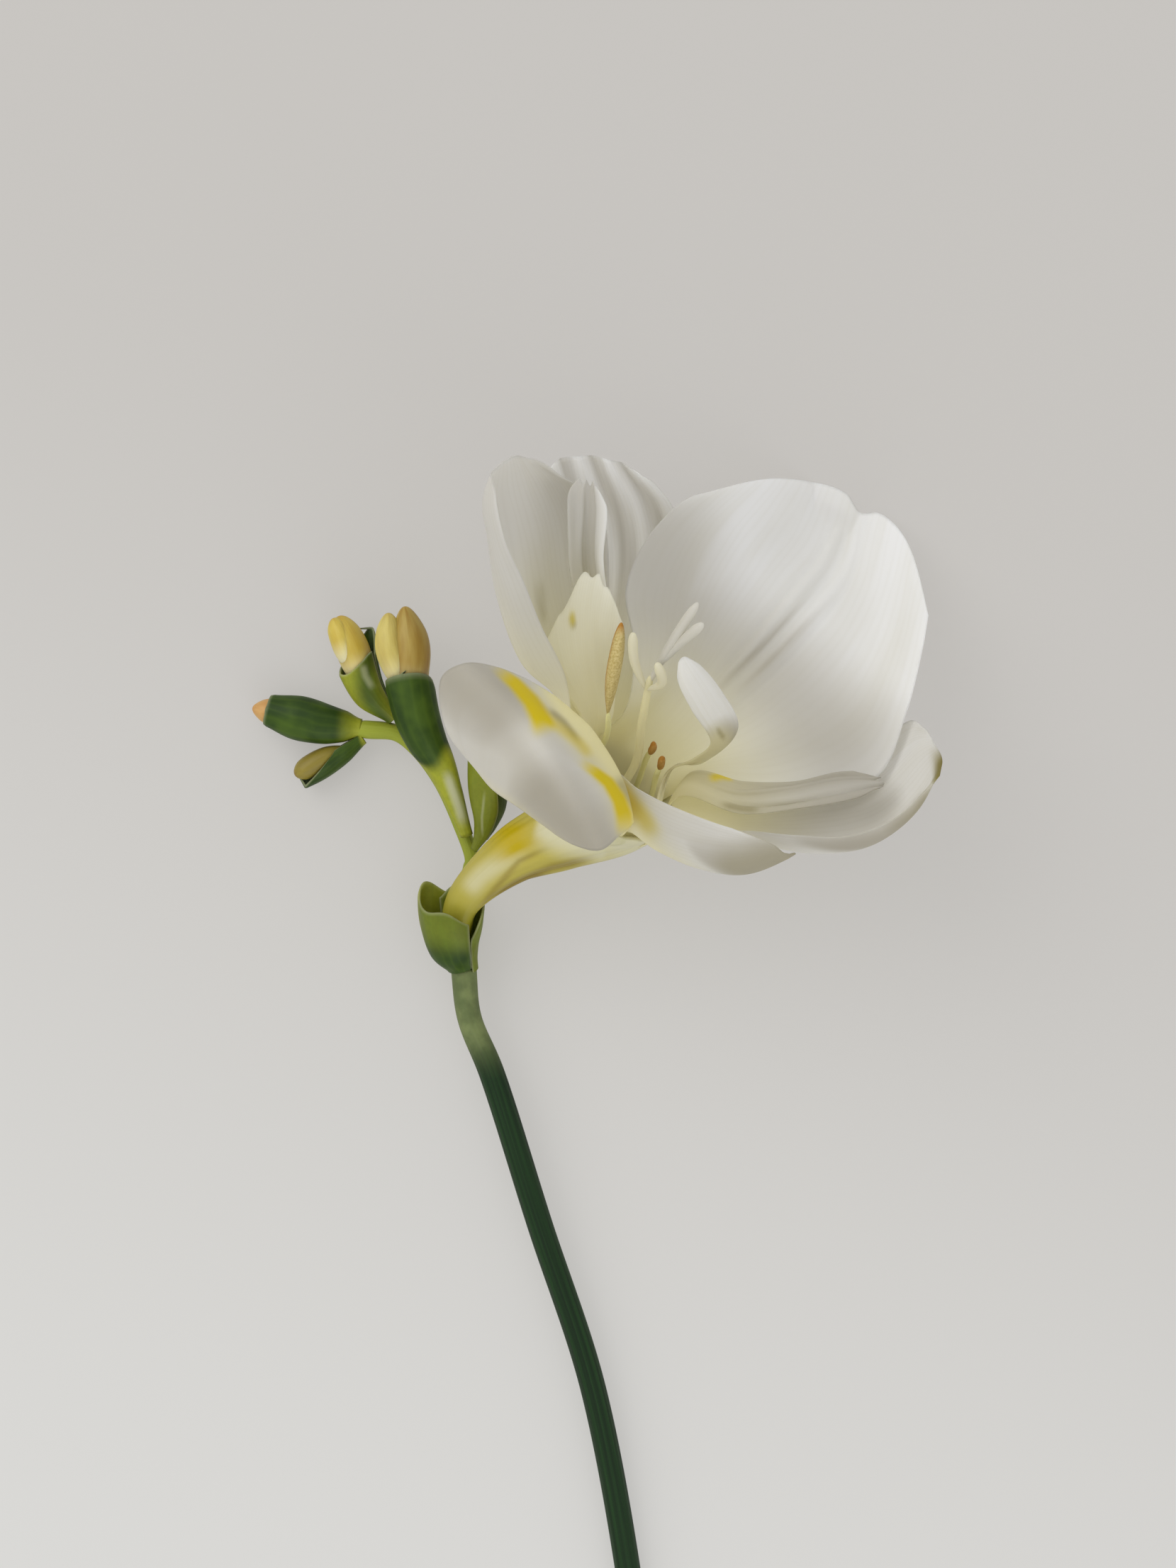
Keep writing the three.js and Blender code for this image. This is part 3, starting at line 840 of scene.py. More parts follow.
@dataclass(frozen=True)
class PollenFinish:
    """Anther: a matt sac with a grainy pollen surface, browner at its ends, on a pale thread."""

    name: str = "pollen_sac"
    pale: str = "#cdbf86"
    deep: str = "#b0a060"
    tip: str = "#a5701c"
    thread: str = "#e6e2a8"
    gloss: Gloss = Gloss(0.75)

    def build(self) -> bpy.types.Material:
        """Makes the material.

        Returns:
            The material.
        """
        palette = Palette(self.name)
        grain = palette.grain(size=0.25, detail=3.0)
        colour = palette.mixed(palette.between(grain, 0.3, 0.7), self.pale, self.deep)
        colour = palette.layered(colour, tip=self.tip, thread=self.thread)
        normal = palette.bump(grain, depth=0.12, strength=0.8)
        return palette.finish(palette.skin(colour, normal, self.gloss))


@dataclass(frozen=True)
class FloorFinish:
    """Frosted acrylic board, softly lit from behind so that it shows hardly any shadow.

    Its colour is painted a little darker towards its far right corner, as painted shade.
    """

    name: str = "frosted_light_board"
    near: str = "#cecdc9"
    far: str = "#bdbab5"
    reach: float = 0.1
    sideways: float = 0.3
    backlight: float = 0.62
    brightness: float = 1.1
    gloss: Gloss = Gloss(0.9, reflection=0.1)

    def build(self) -> bpy.types.Material:
        """Makes the material.

        Returns:
            The material.
        """
        palette = Palette(self.name)
        normal = palette.bump(palette.grain(size=2.5, detail=3.0), depth=0.05, strength=0.3)
        parts = palette.add("SeparateXYZ", {0: palette.add("TexCoord").outputs["Object"]}).outputs
        # Painted shade: darker towards the far right corner
        away = palette.math("MULTIPLY_ADD", parts[0], self.sideways, parts[1])
        colour = palette.mixed(palette.between(away, -self.reach, self.reach), self.near, self.far)
        skin = palette.skin(colour, normal, self.gloss)
        light = palette.add("Emission", {"Color": colour, "Strength": self.brightness})
        return palette.finish_mixed(self.backlight, skin, light.outputs[0])


# Petals


@dataclass(frozen=True)
class Streak:
    """A streak of colour along a path seen from above, as [right, up] in millimetres.

    width is half its width, fade the share of the path over which it starts and ends, soft how
    gently it goes over at its sides, taper the share of the width that it starts with, and floor
    the height under which it fades.
    """

    path: Sequence[Sequence[float]]
    width: float
    strength: float = 1.0
    fade: float = 0.25
    soft: float = 0.9
    taper: float = 1.0
    floor: float = 0.0

    def amount(self, point: Vector) -> float:
        """How much of the colour is at a point.

        Args:
            point: A point of the surface, in millimetres.

        Returns:
            A share from 0 to 1.
        """
        spans = len(self.path) - 1
        best, place = 1e9, 0.0
        for span in range(spans):
            start, end = Vector(self.path[span]), Vector(self.path[span + 1])
            step = end - start
            share = min(max((point.xy - start).dot(step) / step.length_squared, 0.0), 1.0)
            distance = (point.xy - start - step * share).length
            if distance < best:
                best, place = distance, (span + share) / spans
        ends = smooth(-0.02, self.fade, place) * smooth(-0.02, self.fade, 1.0 - place)
        width = self.width * mix(self.taper, 1.0, place)
        side = 1.0 - smooth(1.0 - self.soft, 1.0 + self.soft, best / width)
        return self.strength * ends * side * smooth(self.floor - 3.0, self.floor, point.z)


def streaked(streaks: Sequence[Streak], point: Vector) -> float:
    """How much colour several streaks leave at a point."""
    return min(sum(streak.amount(point) for streak in streaks), 1.0)


def painted(streaks: Sequence[Streak]) -> Measure:
    """The measure of the colour that several streaks leave."""
    return lambda u, t, point: streaked(streaks, point)


# Where the midrib of the back tepal lies, as a share of its width
MIDRIB = 0.585


def throat_tint(point: Vector, reach: float) -> float:
    """How yellow-green the tissue is, by its height over the throat."""
    height = (point - THROAT_CENTRE).dot(BLOOM_AXIS)
    return 1.0 - smooth(-1.0, reach, height)


@dataclass
class Petal:
    """A petal spread over guide curves that run from its base to its tip.

    starts lists where each curve leaves the throat, in degrees. relief lifts the surface into
    folds, ragged tears its tip, corner rounds the sides of its tip, notch draws its tip back at the
    midrib, wave ripples its margin, reach is how far the throat's colour climbs, shade and its
    streaks of shade lay painted shade where the petal lies in shade, the olive rim tone darkens its
    rim to olive, and veined how much its veins show.
    """

    name: str
    rails: Sequence[Sequence[Point]]
    starts: Sequence[float] = ()
    whorl: float = INNER_WHORL
    claw: float = INNER_CLAW
    relief: Tone = flat(0.0)
    yellow: Sequence[Streak] = ()
    olive: Sequence[Streak] = ()
    creamy: Sequence[Streak] = ()
    # Streaks of painted shade, where the petal lies in shade
    dull: Sequence[Streak] = ()
    # Painted shade over the sheet
    shade: Tone = flat(0.0)
    olive_rim: Tone = flat(0.0)
    veined: float = 0.4
    reach: float = 14.0
    throat_share: float = 0.8
    ragged: float = 0.0
    corner: float = 0.05
    notch: float = 0.0
    wave: float = 0.25
    rows: int = 72
    columns: int = 44
    thickness: float = 0.34
    thin_edge: float = 0.35

    def seated_rails(self) -> list[list[Vector]]:
        """The guide curves, with the claw that runs down the wall of the throat.

        Returns:
            The points of each curve.
        """
        rails = []
        for start, rail in zip(self.starts, self.rails):
            claw = bloom_point(self.claw, start, -CLAW_DEPTH)
            rails.append([claw, bloom_point(self.whorl, start), *map(Vector, rail)])
        return rails

    def spread(self) -> Surface:
        """The petal before its folds.

        Returns:
            Its surface.
        """
        curves = [GuideCurve(rail) for rail in self.seated_rails()]
        sections: dict[float, GuideCurve] = {}

        def surface(u: float, t: float) -> Vector:
            """A point of the sheet that the guide curves carry.

            Args:
                u: Place across the petal, from 0 to 1.
                t: Place along it, from 0 to 1.

            Returns:
                The point, in millimetres.
            """
            if t not in sections:
                sections[t] = GuideCurve([curve.at_length(t) for curve in curves])
            return sections[t].point(u)

        return surface

    def torn(self, u: float, t: float) -> float:
        """Draws the petal back where its tip is ragged, at its corners and at its notch.

        Args:
            u: Place across the petal, from 0 to 1.
            t: Place along it, from 0 to 1.

        Returns:
            The place along the petal that is left.
        """
        tear = 0.5 + 0.5 * noise.noise(Vector((u * 9.0, len(self.name), 0.5)))
        sides = abs(2.0 * u - 1.0) ** 6
        notch = bell(u, MIDRIB + 0.025, 0.045)
        drawn = self.ragged * tear + self.corner * sides + self.notch * notch
        return t * (1.0 - drawn * smooth(0.5, 1.0, t))

    def surface(self) -> Surface:
        """The petal with its folds, kept above the floor that it lies on.

        Returns:
            Its surface.
        """
        spread = self.spread()

        def folded(u: float, t: float) -> Vector:
            """A point of the petal.

            Args:
                u: Place across the petal, from 0 to 1.
                t: Place along it, from 0 to 1.

            Returns:
                The point, in millimetres.
            """
            place = self.torn(u, t)
            ripple = noise.noise(Vector((u * 3.0, place * 4.0, len(self.name))))
            edge = max(smooth(0.55, 1.0, place), bell(u, 0.0, 0.16), bell(u, 1.0, 0.16))
            lift = self.relief(u, place) + self.wave * ripple * edge * smooth(0.2, 0.5, place)
            point = spread(u, place) + facing(spread, u, place) * lift
            point.z = max(point.z, self.thickness / 2.0)
            return point

        return folded

    def tint(self, u: float, t: float, point: Vector) -> float:
        """How much of the throat's yellow-green a place has."""
        return max(self.throat_share * throat_tint(point, self.reach), streaked(self.creamy, point))

    def build(self, material: bpy.types.Material) -> None:
        """Makes the petal and dresses it.

        Args:
            material: The petals' material.
        """
        paint = {
            "margin": lambda u, t, point: inside_margin(u, t),
            "throat": self.tint,
            "blotch": painted(self.yellow),
            # olive holds painted shade in a few places, and shade is painted shade
            "olive": lambda u, t, point: max(self.olive_rim(u, t), streaked(self.olive, point)),
            "shade": lambda u, t, point: min(max(self.shade(u, t), streaked(self.dull, point)), 1.0),
            "veined": even(self.veined),
        }
        skin = Skin(self.surface(), self.rows, self.columns, paint)
        piece = make_piece(self.name + "_petal", [skin], False)
        thicken(piece, self.thickness, self.thin_edge)
        hand_in(piece, self.name, Slot.PETAL, material)


def back_relief(u: float, t: float) -> float:
    """A midrib channel between ridges, with short fine ribs beside it.

    Args:
        u: Place across the petal, from 0 to 1.
        t: Place along it, from 0 to 1.

    Returns:
        How far the petal is raised, in millimetres.
    """
    groove = -0.42 * bell(u, MIDRIB, 0.022)
    ridges = 0.36 * (bell(u, MIDRIB - 0.033, 0.013) + bell(u, MIDRIB + 0.033, 0.013))
    side = -0.2 * (bell(u, MIDRIB - 0.058, 0.009) + bell(u, MIDRIB + 0.06, 0.009))
    fan = 0.006 * math.sin(math.tau * 26.0 * u) * bell(u, MIDRIB - 0.035, 0.2)
    near = smooth(0.2, 0.45, t)
    return groove * near + (ridges + side + fan) * near * (1.0 - 0.6 * smooth(0.65, 0.95, t))


def pleat(u: float, t: float) -> float:
    """How high a pleat stands, from -1 to 1. The pleats bow to one side halfway up."""
    return math.sin(math.tau * 3.5 * (u - 0.12 * math.sin(math.pi * t)))


def pleated_relief(u: float, t: float) -> float:
    """Lengthwise pleats, with finer ones between them."""
    fine = 0.12 * math.sin(math.tau * 10.0 * u + 1.5 * math.sin(5.0 * t))
    return (0.3 * pleat(u, t) + fine) * smooth(0.3, 0.8, t)


def crumpled_relief(u: float, t: float) -> float:
    """Two uneven folds that wander up a soft petal.

    Args:
        u: Place across the petal, from 0 to 1.
        t: Place along it, from 0 to 1.

    Returns:
        How far the petal is raised, in millimetres.
    """
    first = bell(u, 0.3 + 0.08 * math.sin(7.0 * t), 0.07)
    second = bell(u, 0.66 + 0.06 * math.sin(9.0 * t + 1.0), 0.06)
    return (0.45 * first - 0.3 * second) * smooth(0.35, 0.6, t)


def pleat_shade(u: float, t: float) -> float:
    """Painted shade in the valleys of the pleats."""
    return 0.3 - 0.25 * pleat(u, t) * smooth(0.3, 0.7, t)


def soft_relief(u: float, t: float) -> float:
    """A slight groove down the middle."""
    return -0.25 * bell(u, 0.5, 0.12) * smooth(0.2, 0.6, t)


@dataclass
class Bloom:
    """The open flower: its tepals, its petal-like stamens, and what stands in its throat."""

    tepals: Sequence[Petal]
    petaloids: Sequence[Petal]

    def build(self, petal: bpy.types.Material) -> None:
        """Makes every petal of the bloom."""
        for piece in (*self.tepals, *self.petaloids):
            piece.build(petal)


TEPALS = (
    Petal(
        "tepal_back",
        [
            [[4.5, 9, 17], [5.5, 16.5, 19], [4.5, 23, 20], [6.5, 28.5, 19], [10.5, 33.5, 16],
             [14.5, 36, 13.5]],
            [[10, 13, 14], [13, 22, 13], [17, 30, 10.2], [23.7, 38.1, 4.8]],
            [[15, 13.5, 12], [23, 23.5, 7.5], [28.5, 30, 1.5], [31.3, 37.3, -1.5]],
            [[21, 6.5, 15], [29, 12.5, 13], [35.5, 21.5, 7], [38.5, 32.5, 2.5]],
            [[14.5, 0.5, 19], [21, -1.5, 22], [28, -1.5, 24], [34.5, 1, 24], [38, 8.3, 21],
             [40.3, 16, 17], [42, 23, 12]],
        ],
        starts=(52, 27, 2, -23, -48),
        relief=back_relief,
        # Painted shade over the lower left half, and in the grooves beside the midrib
        dull=(
            Streak([(8.5, 30.0), (9.5, 22.0), (15.0, 17.0), (23.0, 12.0), (30.0, 5.0)], 6.0, 0.5, 0.0),
            Streak([(14.5, 10.5), (22.0, 17.6), (29.0, 25.0)], 0.3, 0.35, 0.4),
            Streak([(17.0, 9.6), (24.0, 16.6), (31.0, 24.0)], 0.3, 0.35, 0.4),
        ),
        veined=0.2,
        reach=18.0,
        notch=0.03,
        wave=0.18,
        rows=110,
        columns=130,
    ),
    Petal(
        "tepal_left",
        [
            [[-2.5, 12, 28], [-5.5, 18.5, 33], [-7.5, 23.5, 37], [-9.5, 27.5, 40],
             [-10.5, 32, 41], [-10.5, 35, 39.5]],
            [[-3.5, 10, 25], [-7.5, 14, 29], [-10.5, 22, 33], [-11.5, 28.5, 35],
             [-12, 32.5, 36], [-11, 36, 36]],
            [[-2.5, 14, 19], [-5, 23.5, 21], [-6, 30, 24], [-7.5, 34.5, 28], [-8.5, 38, 33]],
            [[-0.5, 15, 18], [-1, 24.5, 18], [-2, 32, 20], [-4, 36, 24], [-7, 38, 31]],
            [[2, 14, 20], [2.5, 24.5, 20], [2, 31, 22], [0, 34.5, 25], [-3, 36, 27], [-5.5, 38, 30]],
        ],
        starts=(134, 121, 104, 85, 66),
        # Painted shade all over
        shade=flat(0.42),
        olive=(Streak([(-6.0, 24.5), (-5.6, 21.5), (-5.3, 19.0)], 0.35, 0.25),),
        reach=20.0,
    ),
    Petal(
        "tepal_lower",
        [
            [[2.2, 1.8, 28], [5.8, -0.6, 32.5], [10.5, -2.9, 36.5], [14.5, -4.5, 39.5], [20.5, -6.2, 41]],
            [[8.5, -8, 26], [13, -10, 30], [17.5, -10.5, 34], [22.8, -8.2, 39]],
            [[12, -7, 24], [17.5, -7.5, 28], [22, -8.5, 32.5], [24.5, -7.5, 36.5]],
        ],
        starts=(178, -146, -110),
        relief=soft_relief,
        # Painted shade all over, deeper on the outer curl of its tip
        shade=flat(0.36),
        yellow=(Streak([(2.8, 1.0), (4.6, -1.4), (6.5, -3.7), (8.3, -6.6)], 0.9, 0.5),),
        dull=(
            Streak([(13.0, -9.5), (18.0, -9.5), (22.0, -8.0), (25.0, -7.0)], 3.5, 0.8, 0.0, floor=34.0),
        ),
        olive=(
            Streak([(2.8, 1.0), (4.6, -1.4), (6.5, -3.7), (8.3, -6.6)], 0.7, 0.25),
            # The second olive streak is painted shade on the curled tip
            Streak([(17.0, -9.5), (21.0, -8.5), (25.0, -7.5)], 2.2, 0.35, 0.0, floor=35.0),
        ),
        corner=0.12,
        reach=10.0,
    ),
    Petal(
        "tepal_back_left",
        [
            [[-1.5, 16, 13], [-4, 29, 13], [-5.5, 39, 17]],
            [[3, 21.5, 9.5], [3, 31, 9.5], [0.5, 40, 13.5]],
            [[9.5, 22.5, 7], [11.5, 28, 7], [10.5, 34, 9.5], [6.5, 38.5, 12]],
        ],
        starts=(88, 54, 20),
        whorl=OUTER_WHORL,
        claw=OUTER_CLAW,
        relief=pleated_relief,
        # Painted shade in the valleys of the pleats
        shade=pleat_shade,
        columns=84,
    ),
    Petal(
        "tepal_lip",
        [
            [[-2.3, 8.6, 33.5], [-5.6, 11.2, 38], [-10.5, 13.2, 42.5], [-14, 13.5, 45],
             [-16.5, 12, 43.5], [-16, 6, 40], [-13.5, 2.5, 38]],
            [[0.2, 6.4, 33.5], [-3.6, 7.6, 40], [-6.8, 9.4, 44.5], [-10, 9.5, 47], [-13.5, 7.5, 45],
             [-13.5, 3.5, 40], [-12, 0.5, 37]],
            [[2.4, 3.2, 33.5], [0.2, 3.6, 40], [-2.5, 4.5, 44], [-5.5, 4, 46.5], [-8.5, 2, 43],
             [-10.5, -1, 36.5]],
            [[4.2, -0.4, 33], [2.8, -0.2, 39], [0.5, -0.5, 43], [-2, -1.5, 44.5], [-5, -2.5, 41],
             [-7.5, -3, 36]],
            [[5.2, -4.4, 31.5], [4.8, -5, 36], [3.5, -6, 39], [1.5, -7.5, 39.5], [-1.5, -7, 38],
             [-5, -5, 36]],
        ],
        starts=(124, 145, 166, 187, 208),
        whorl=OUTER_WHORL,
        claw=OUTER_CLAW,
        yellow=(
            Streak([(-10.9, 13.3), (-8.3, 11.2), (-6.5, 9.2), (-5.4, 7.3), (-4.7, 5.2)], 1.25, 1.0, 0.25,
                   0.45, 0.45),
            Streak([(-4.9, 7.6), (-2.9, 6.0), (-1.1, 4.5), (0.4, 2.8)], 0.55, 0.5, 0.2),
            Streak([(-1.3, 2.6), (0.7, 1.3), (2.2, 0.1), (3.4, -1.8), (4.0, -3.6), (4.3, -6.4)], 1.05,
                   1.0, 0.25, 0.45, 0.4),
        ),
        olive=(
            Streak([(-4.8, 8.6), (-2.9, 7.0), (-0.8, 4.3)], 0.35, 0.45),
            Streak([(2.8, 1.0), (4.6, -1.4), (6.5, -3.7)], 0.7, 0.45),
        ),
        creamy=(
            Streak([(-3.6, 10.6), (-2.2, 8.2), (0.0, 5.6), (2.6, 2.6), (4.6, -0.6), (5.4, -3.6)],
                   2.0, 0.95, 0.0),
        ),
        # Painted shade all over, deeper at both ends of the lip
        shade=flat(0.4),
        dull=(
            Streak([(-15.0, 12.0), (-10.5, 8.5)], 4.5, 0.9, 0.0),
            Streak([(-5.0, -1.0), (-1.5, -4.5), (1.0, -7.0)], 4.2, 0.9, 0.0),
        ),
        veined=0.0,
        reach=6.0,
        wave=0.15,
        rows=110,
        columns=64,
    ),
    Petal(
        "tepal_right",
        [
            [[15.5, -1, 14], [25, 1, 13], [33.5, 3, 13.5], [38.5, 7.5, 18], [40, 6.5, 25]],
            [[18, -4, 17], [27.5, -2.5, 19], [34.5, -0.5, 22], [39, 4, 26], [40.5, 4.8, 29]],
            [[20.5, -7, 23], [27, -8, 27], [33, -7, 30], [38, -3, 33], [41, 2.5, 33]],
            [[18.5, -5.5, 27], [24, -6, 32], [30, -6, 36], [35, -4, 38], [39, -0.5, 37],
             [40.5, 1, 35.5]],
        ],
        starts=(-44, -60, -76, -106),
        whorl=OUTER_WHORL,
        claw=OUTER_CLAW,
        relief=soft_relief,
        # An olive band along the curled rim: painted shade on its underside
        olive=(
            Streak([(41.0, 5.5), (41.1, 2.2), (40.4, -0.6), (37.6, -3.6), (33.4, -6.2)], 1.1, 0.55, 0.4,
                   floor=35.5),
        ),
        # A darker olive edge round its tip
        olive_rim=lambda u, t: smooth(0.945, 0.985, t) * smooth(0.35, 0.65, u),
        corner=0.0,
        # Painted shade all over, deeper on the inside and along the lower rim
        shade=flat(0.28),
        dull=(
            Streak([(19.0, -5.0), (26.0, -3.5), (33.0, -2.5)], 4.5, 0.6, 0.0),
            Streak([(41.0, -0.5), (38.8, -4.1), (34.6, -7.0), (28.0, -8.2), (23.0, -8.8)], 1.9, 0.7, 0.15,
                   floor=32.0),
        ),
    ),
)

PETALOID_SEAT = 6.3
PETALOID_CLAW = 5.2


def petaloid(name: str, starts: Sequence[float], rails: Sequence[Sequence[Point]], **more: Any) -> Petal:
    """A stamen turned into a small petal."""
    sizes = {"rows": 60, "columns": 26, "thickness": 0.3, **more}
    return Petal(name, rails, starts, PETALOID_SEAT, PETALOID_CLAW, **sizes)


PETALOIDS = (
    petaloid("petaloid_1", (88, 81, 74), [
        [[-0.1, 7.9, 19.7], [0, 15, 24], [-2.2, 26, 26.5], [-2.2, 35, 29], [-1.2, 36, 30]],
        [[1, 9, 19], [2, 15.5, 22.5], [0, 26, 24], [0, 33, 27], [0, 36.2, 29.5]],
        [[2.5, 9, 19.5], [3, 15.5, 23.5], [1.8, 26.5, 27], [2, 32.5, 29], [1.2, 35.6, 30]],
    ],
             # Painted shade, lighter towards its right edge
             relief=crumpled_relief, shade=lambda u, t: 0.5 - 0.4 * smooth(0.7, 0.95, u),
             reach=25.0, veined=0.0, ragged=0.05, wave=0.6, columns=48),
    petaloid("petaloid_2", (114, 110, 106, 102, 98), [
        [[-0.7, 7.3, 22.8], [-4, 12.5, 26.2], [-5, 16.8, 27.2], [-4.3, 18.6, 27.4]],
        [[0, 7.5, 22.5], [-2.4, 13.5, 26], [-3.4, 18.5, 27.2], [-3.1, 20.9, 27.6]],
        [[0.8, 7.5, 22.2], [-0.5, 15, 26], [-0.6, 21, 27.8], [0.4, 26.3, 29]],
        [[1.5, 7.4, 22], [1.5, 14, 25.2], [1.7, 20, 27.4], [2.4, 24.4, 28.6]],
        [[2.6, 7.2, 21.6], [3.4, 13, 24.8], [4.1, 18, 26.8], [4.5, 21.4, 27.8]],
    ],
             reach=40.0, ragged=0.08, columns=60, throat_share=0.65,
             yellow=(Streak([(-1.9, 19.8), (-1.8, 19.0)], 0.3, 0.6, 0.0),),
             olive=(Streak([(-1.9, 19.6), (-1.7, 18.7)], 0.3, 0.5, 0.0),)),
    petaloid("petaloid_3", (-114, -109, -104), [
        [[9.3, 1.2, 20.5], [12.4, 3, 24.5], [14.4, 4.9, 28], [12.1, 8.6, 31], [10.4, 12, 33],
         [10.2, 13.9, 33.9]],
        [[9.8, 1.6, 20], [13, 2.8, 24], [16, 5.4, 28.6], [13.8, 9.6, 31.8], [11.6, 13, 33.8],
         [10.9, 14.6, 34.3]],
        [[10.3, 2, 20.5], [13.8, 2.6, 24.5], [17.6, 6.6, 28.5], [15.6, 10.8, 31.2],
         [13, 13.8, 33.3], [11.6, 14.8, 34.1]],
    ],
             # Painted shade, deepest along its stalk
             shade=flat(0.1), olive=(Streak([(15.3, 6.3), (15.8, 5.6)], 0.25, 0.5, 0.0),),
             creamy=(Streak([(9.0, 1.0), (13.0, 3.0), (15.5, 5.0)], 1.6, 0.6, 0.0),),
             dull=(Streak([(9.0, 1.0), (13.0, 3.0), (16.5, 5.5)], 1.8, 1.0, 0.0),)),
    petaloid("petaloid_4", (-96, -88, -80), [
        [[11, -1.5, 20.5], [18, -3.5, 27], [24, -3, 29.5], [30, -1.8, 30.5], [35, -0.5, 30]],
        [[11.5, 0, 20], [18, -1.5, 25.5], [23.5, -1.2, 28.5], [29.5, 0, 28.5], [35.5, 0.3, 29]],
        [[12.5, 1.5, 20.5], [18.5, 0.3, 25], [24, 0.3, 27.5], [29.5, 1.3, 27.5], [34.5, 1.3, 28]],
    ],
             relief=crumpled_relief, wave=0.6, ragged=0.06, columns=48, veined=0.0,
             # Painted shade all over; the olive streak is a painted shadow beside its foot
             shade=lambda u, t: 0.9 - 0.25 * bell(u, 0.35, 0.2),
             yellow=(Streak([(14.6, 0.6), (16.0, 1.0), (17.2, 0.8)], 0.45, 0.8, 0.1),),
             olive=(Streak([(15.5, -2.4), (18.0, -3.0), (20.5, -3.2)], 0.35, 0.45),), reach=22.0),
)


# Stalks, the tube, and the stamens and style


class Ends(Enum):
    """How a stalk ends."""

    ROUND = "round"
    CUT = "cut"


def dome_share(depth: float) -> float:
    """How wide a dome is, by how deep below its top as a share of its height."""
    return math.sqrt(max(1.0 - max(1.0 - depth, 0.0) ** 2, 0.0))


@dataclass
class Stalk:
    """A solid with round sections along a curve.

    Its far end is a dome and its near end a dome or a flat cut. dome is the share of the curve
    that a dome takes, and cut_rim the share of the radius that a cut's chamfer leaves.
    """

    points: Sequence[Point]
    radii: Sequence[float]
    start: Ends = Ends.ROUND
    rows: int = 48
    columns: int = 24
    ribs: int = 0
    rib_depth: float = 0.0
    dome: float = 0.2
    cut_rim: float = 0.93
    paint: dict[str, Measure] = field(default_factory=dict)

    def place(self, t: float) -> float:
        """Puts the rows closer together near the ends.

        Args:
            t: Share of the rows, from 0 to 1.

        Returns:
            The share of the curve.
        """
        if self.start is Ends.ROUND:
            return (1.0 - math.cos(math.pi * t)) / 2.0
        rim = 2.0 / self.rows
        return math.sin(math.pi / 2.0 * max(t - rim, 0.0) / (1.0 - rim))

    def closing(self, t: float, share: float) -> float:
        """The part of the radius that is left at a row, as the ends close.

        Args:
            t: Share of the rows, from 0 to 1.
            share: Share of the curve.

        Returns:
            A share from 0 to 1.
        """
        if self.start is Ends.CUT:
            near = min(t * self.rows * self.cut_rim, 1.0)
        else:
            near = dome_share(share / self.dome)
        return min(near, dome_share((1.0 - share) / self.dome))

    def skin(self) -> Skin:
        """The stalk's closed surface.

        Returns:
            The skin.
        """
        curve = GuideCurve(self.points)

        def surface(u: float, t: float) -> Vector:
            """A point of the stalk's surface.

            Args:
                u: Place round the stalk, from 0 to 1.
                t: Place along it, from 0 to 1.

            Returns:
                The point, in millimetres.
            """
            share = self.place(t)
            radius = blend(self.radii, share) * self.closing(t, share)
            ripple = 1.0 + self.rib_depth * math.cos(math.tau * self.ribs * u)
            return ring_point(curve, share, radius * ripple, 360.0 * u)

        return Skin(surface, self.rows, self.columns, self.paint, closed=True)


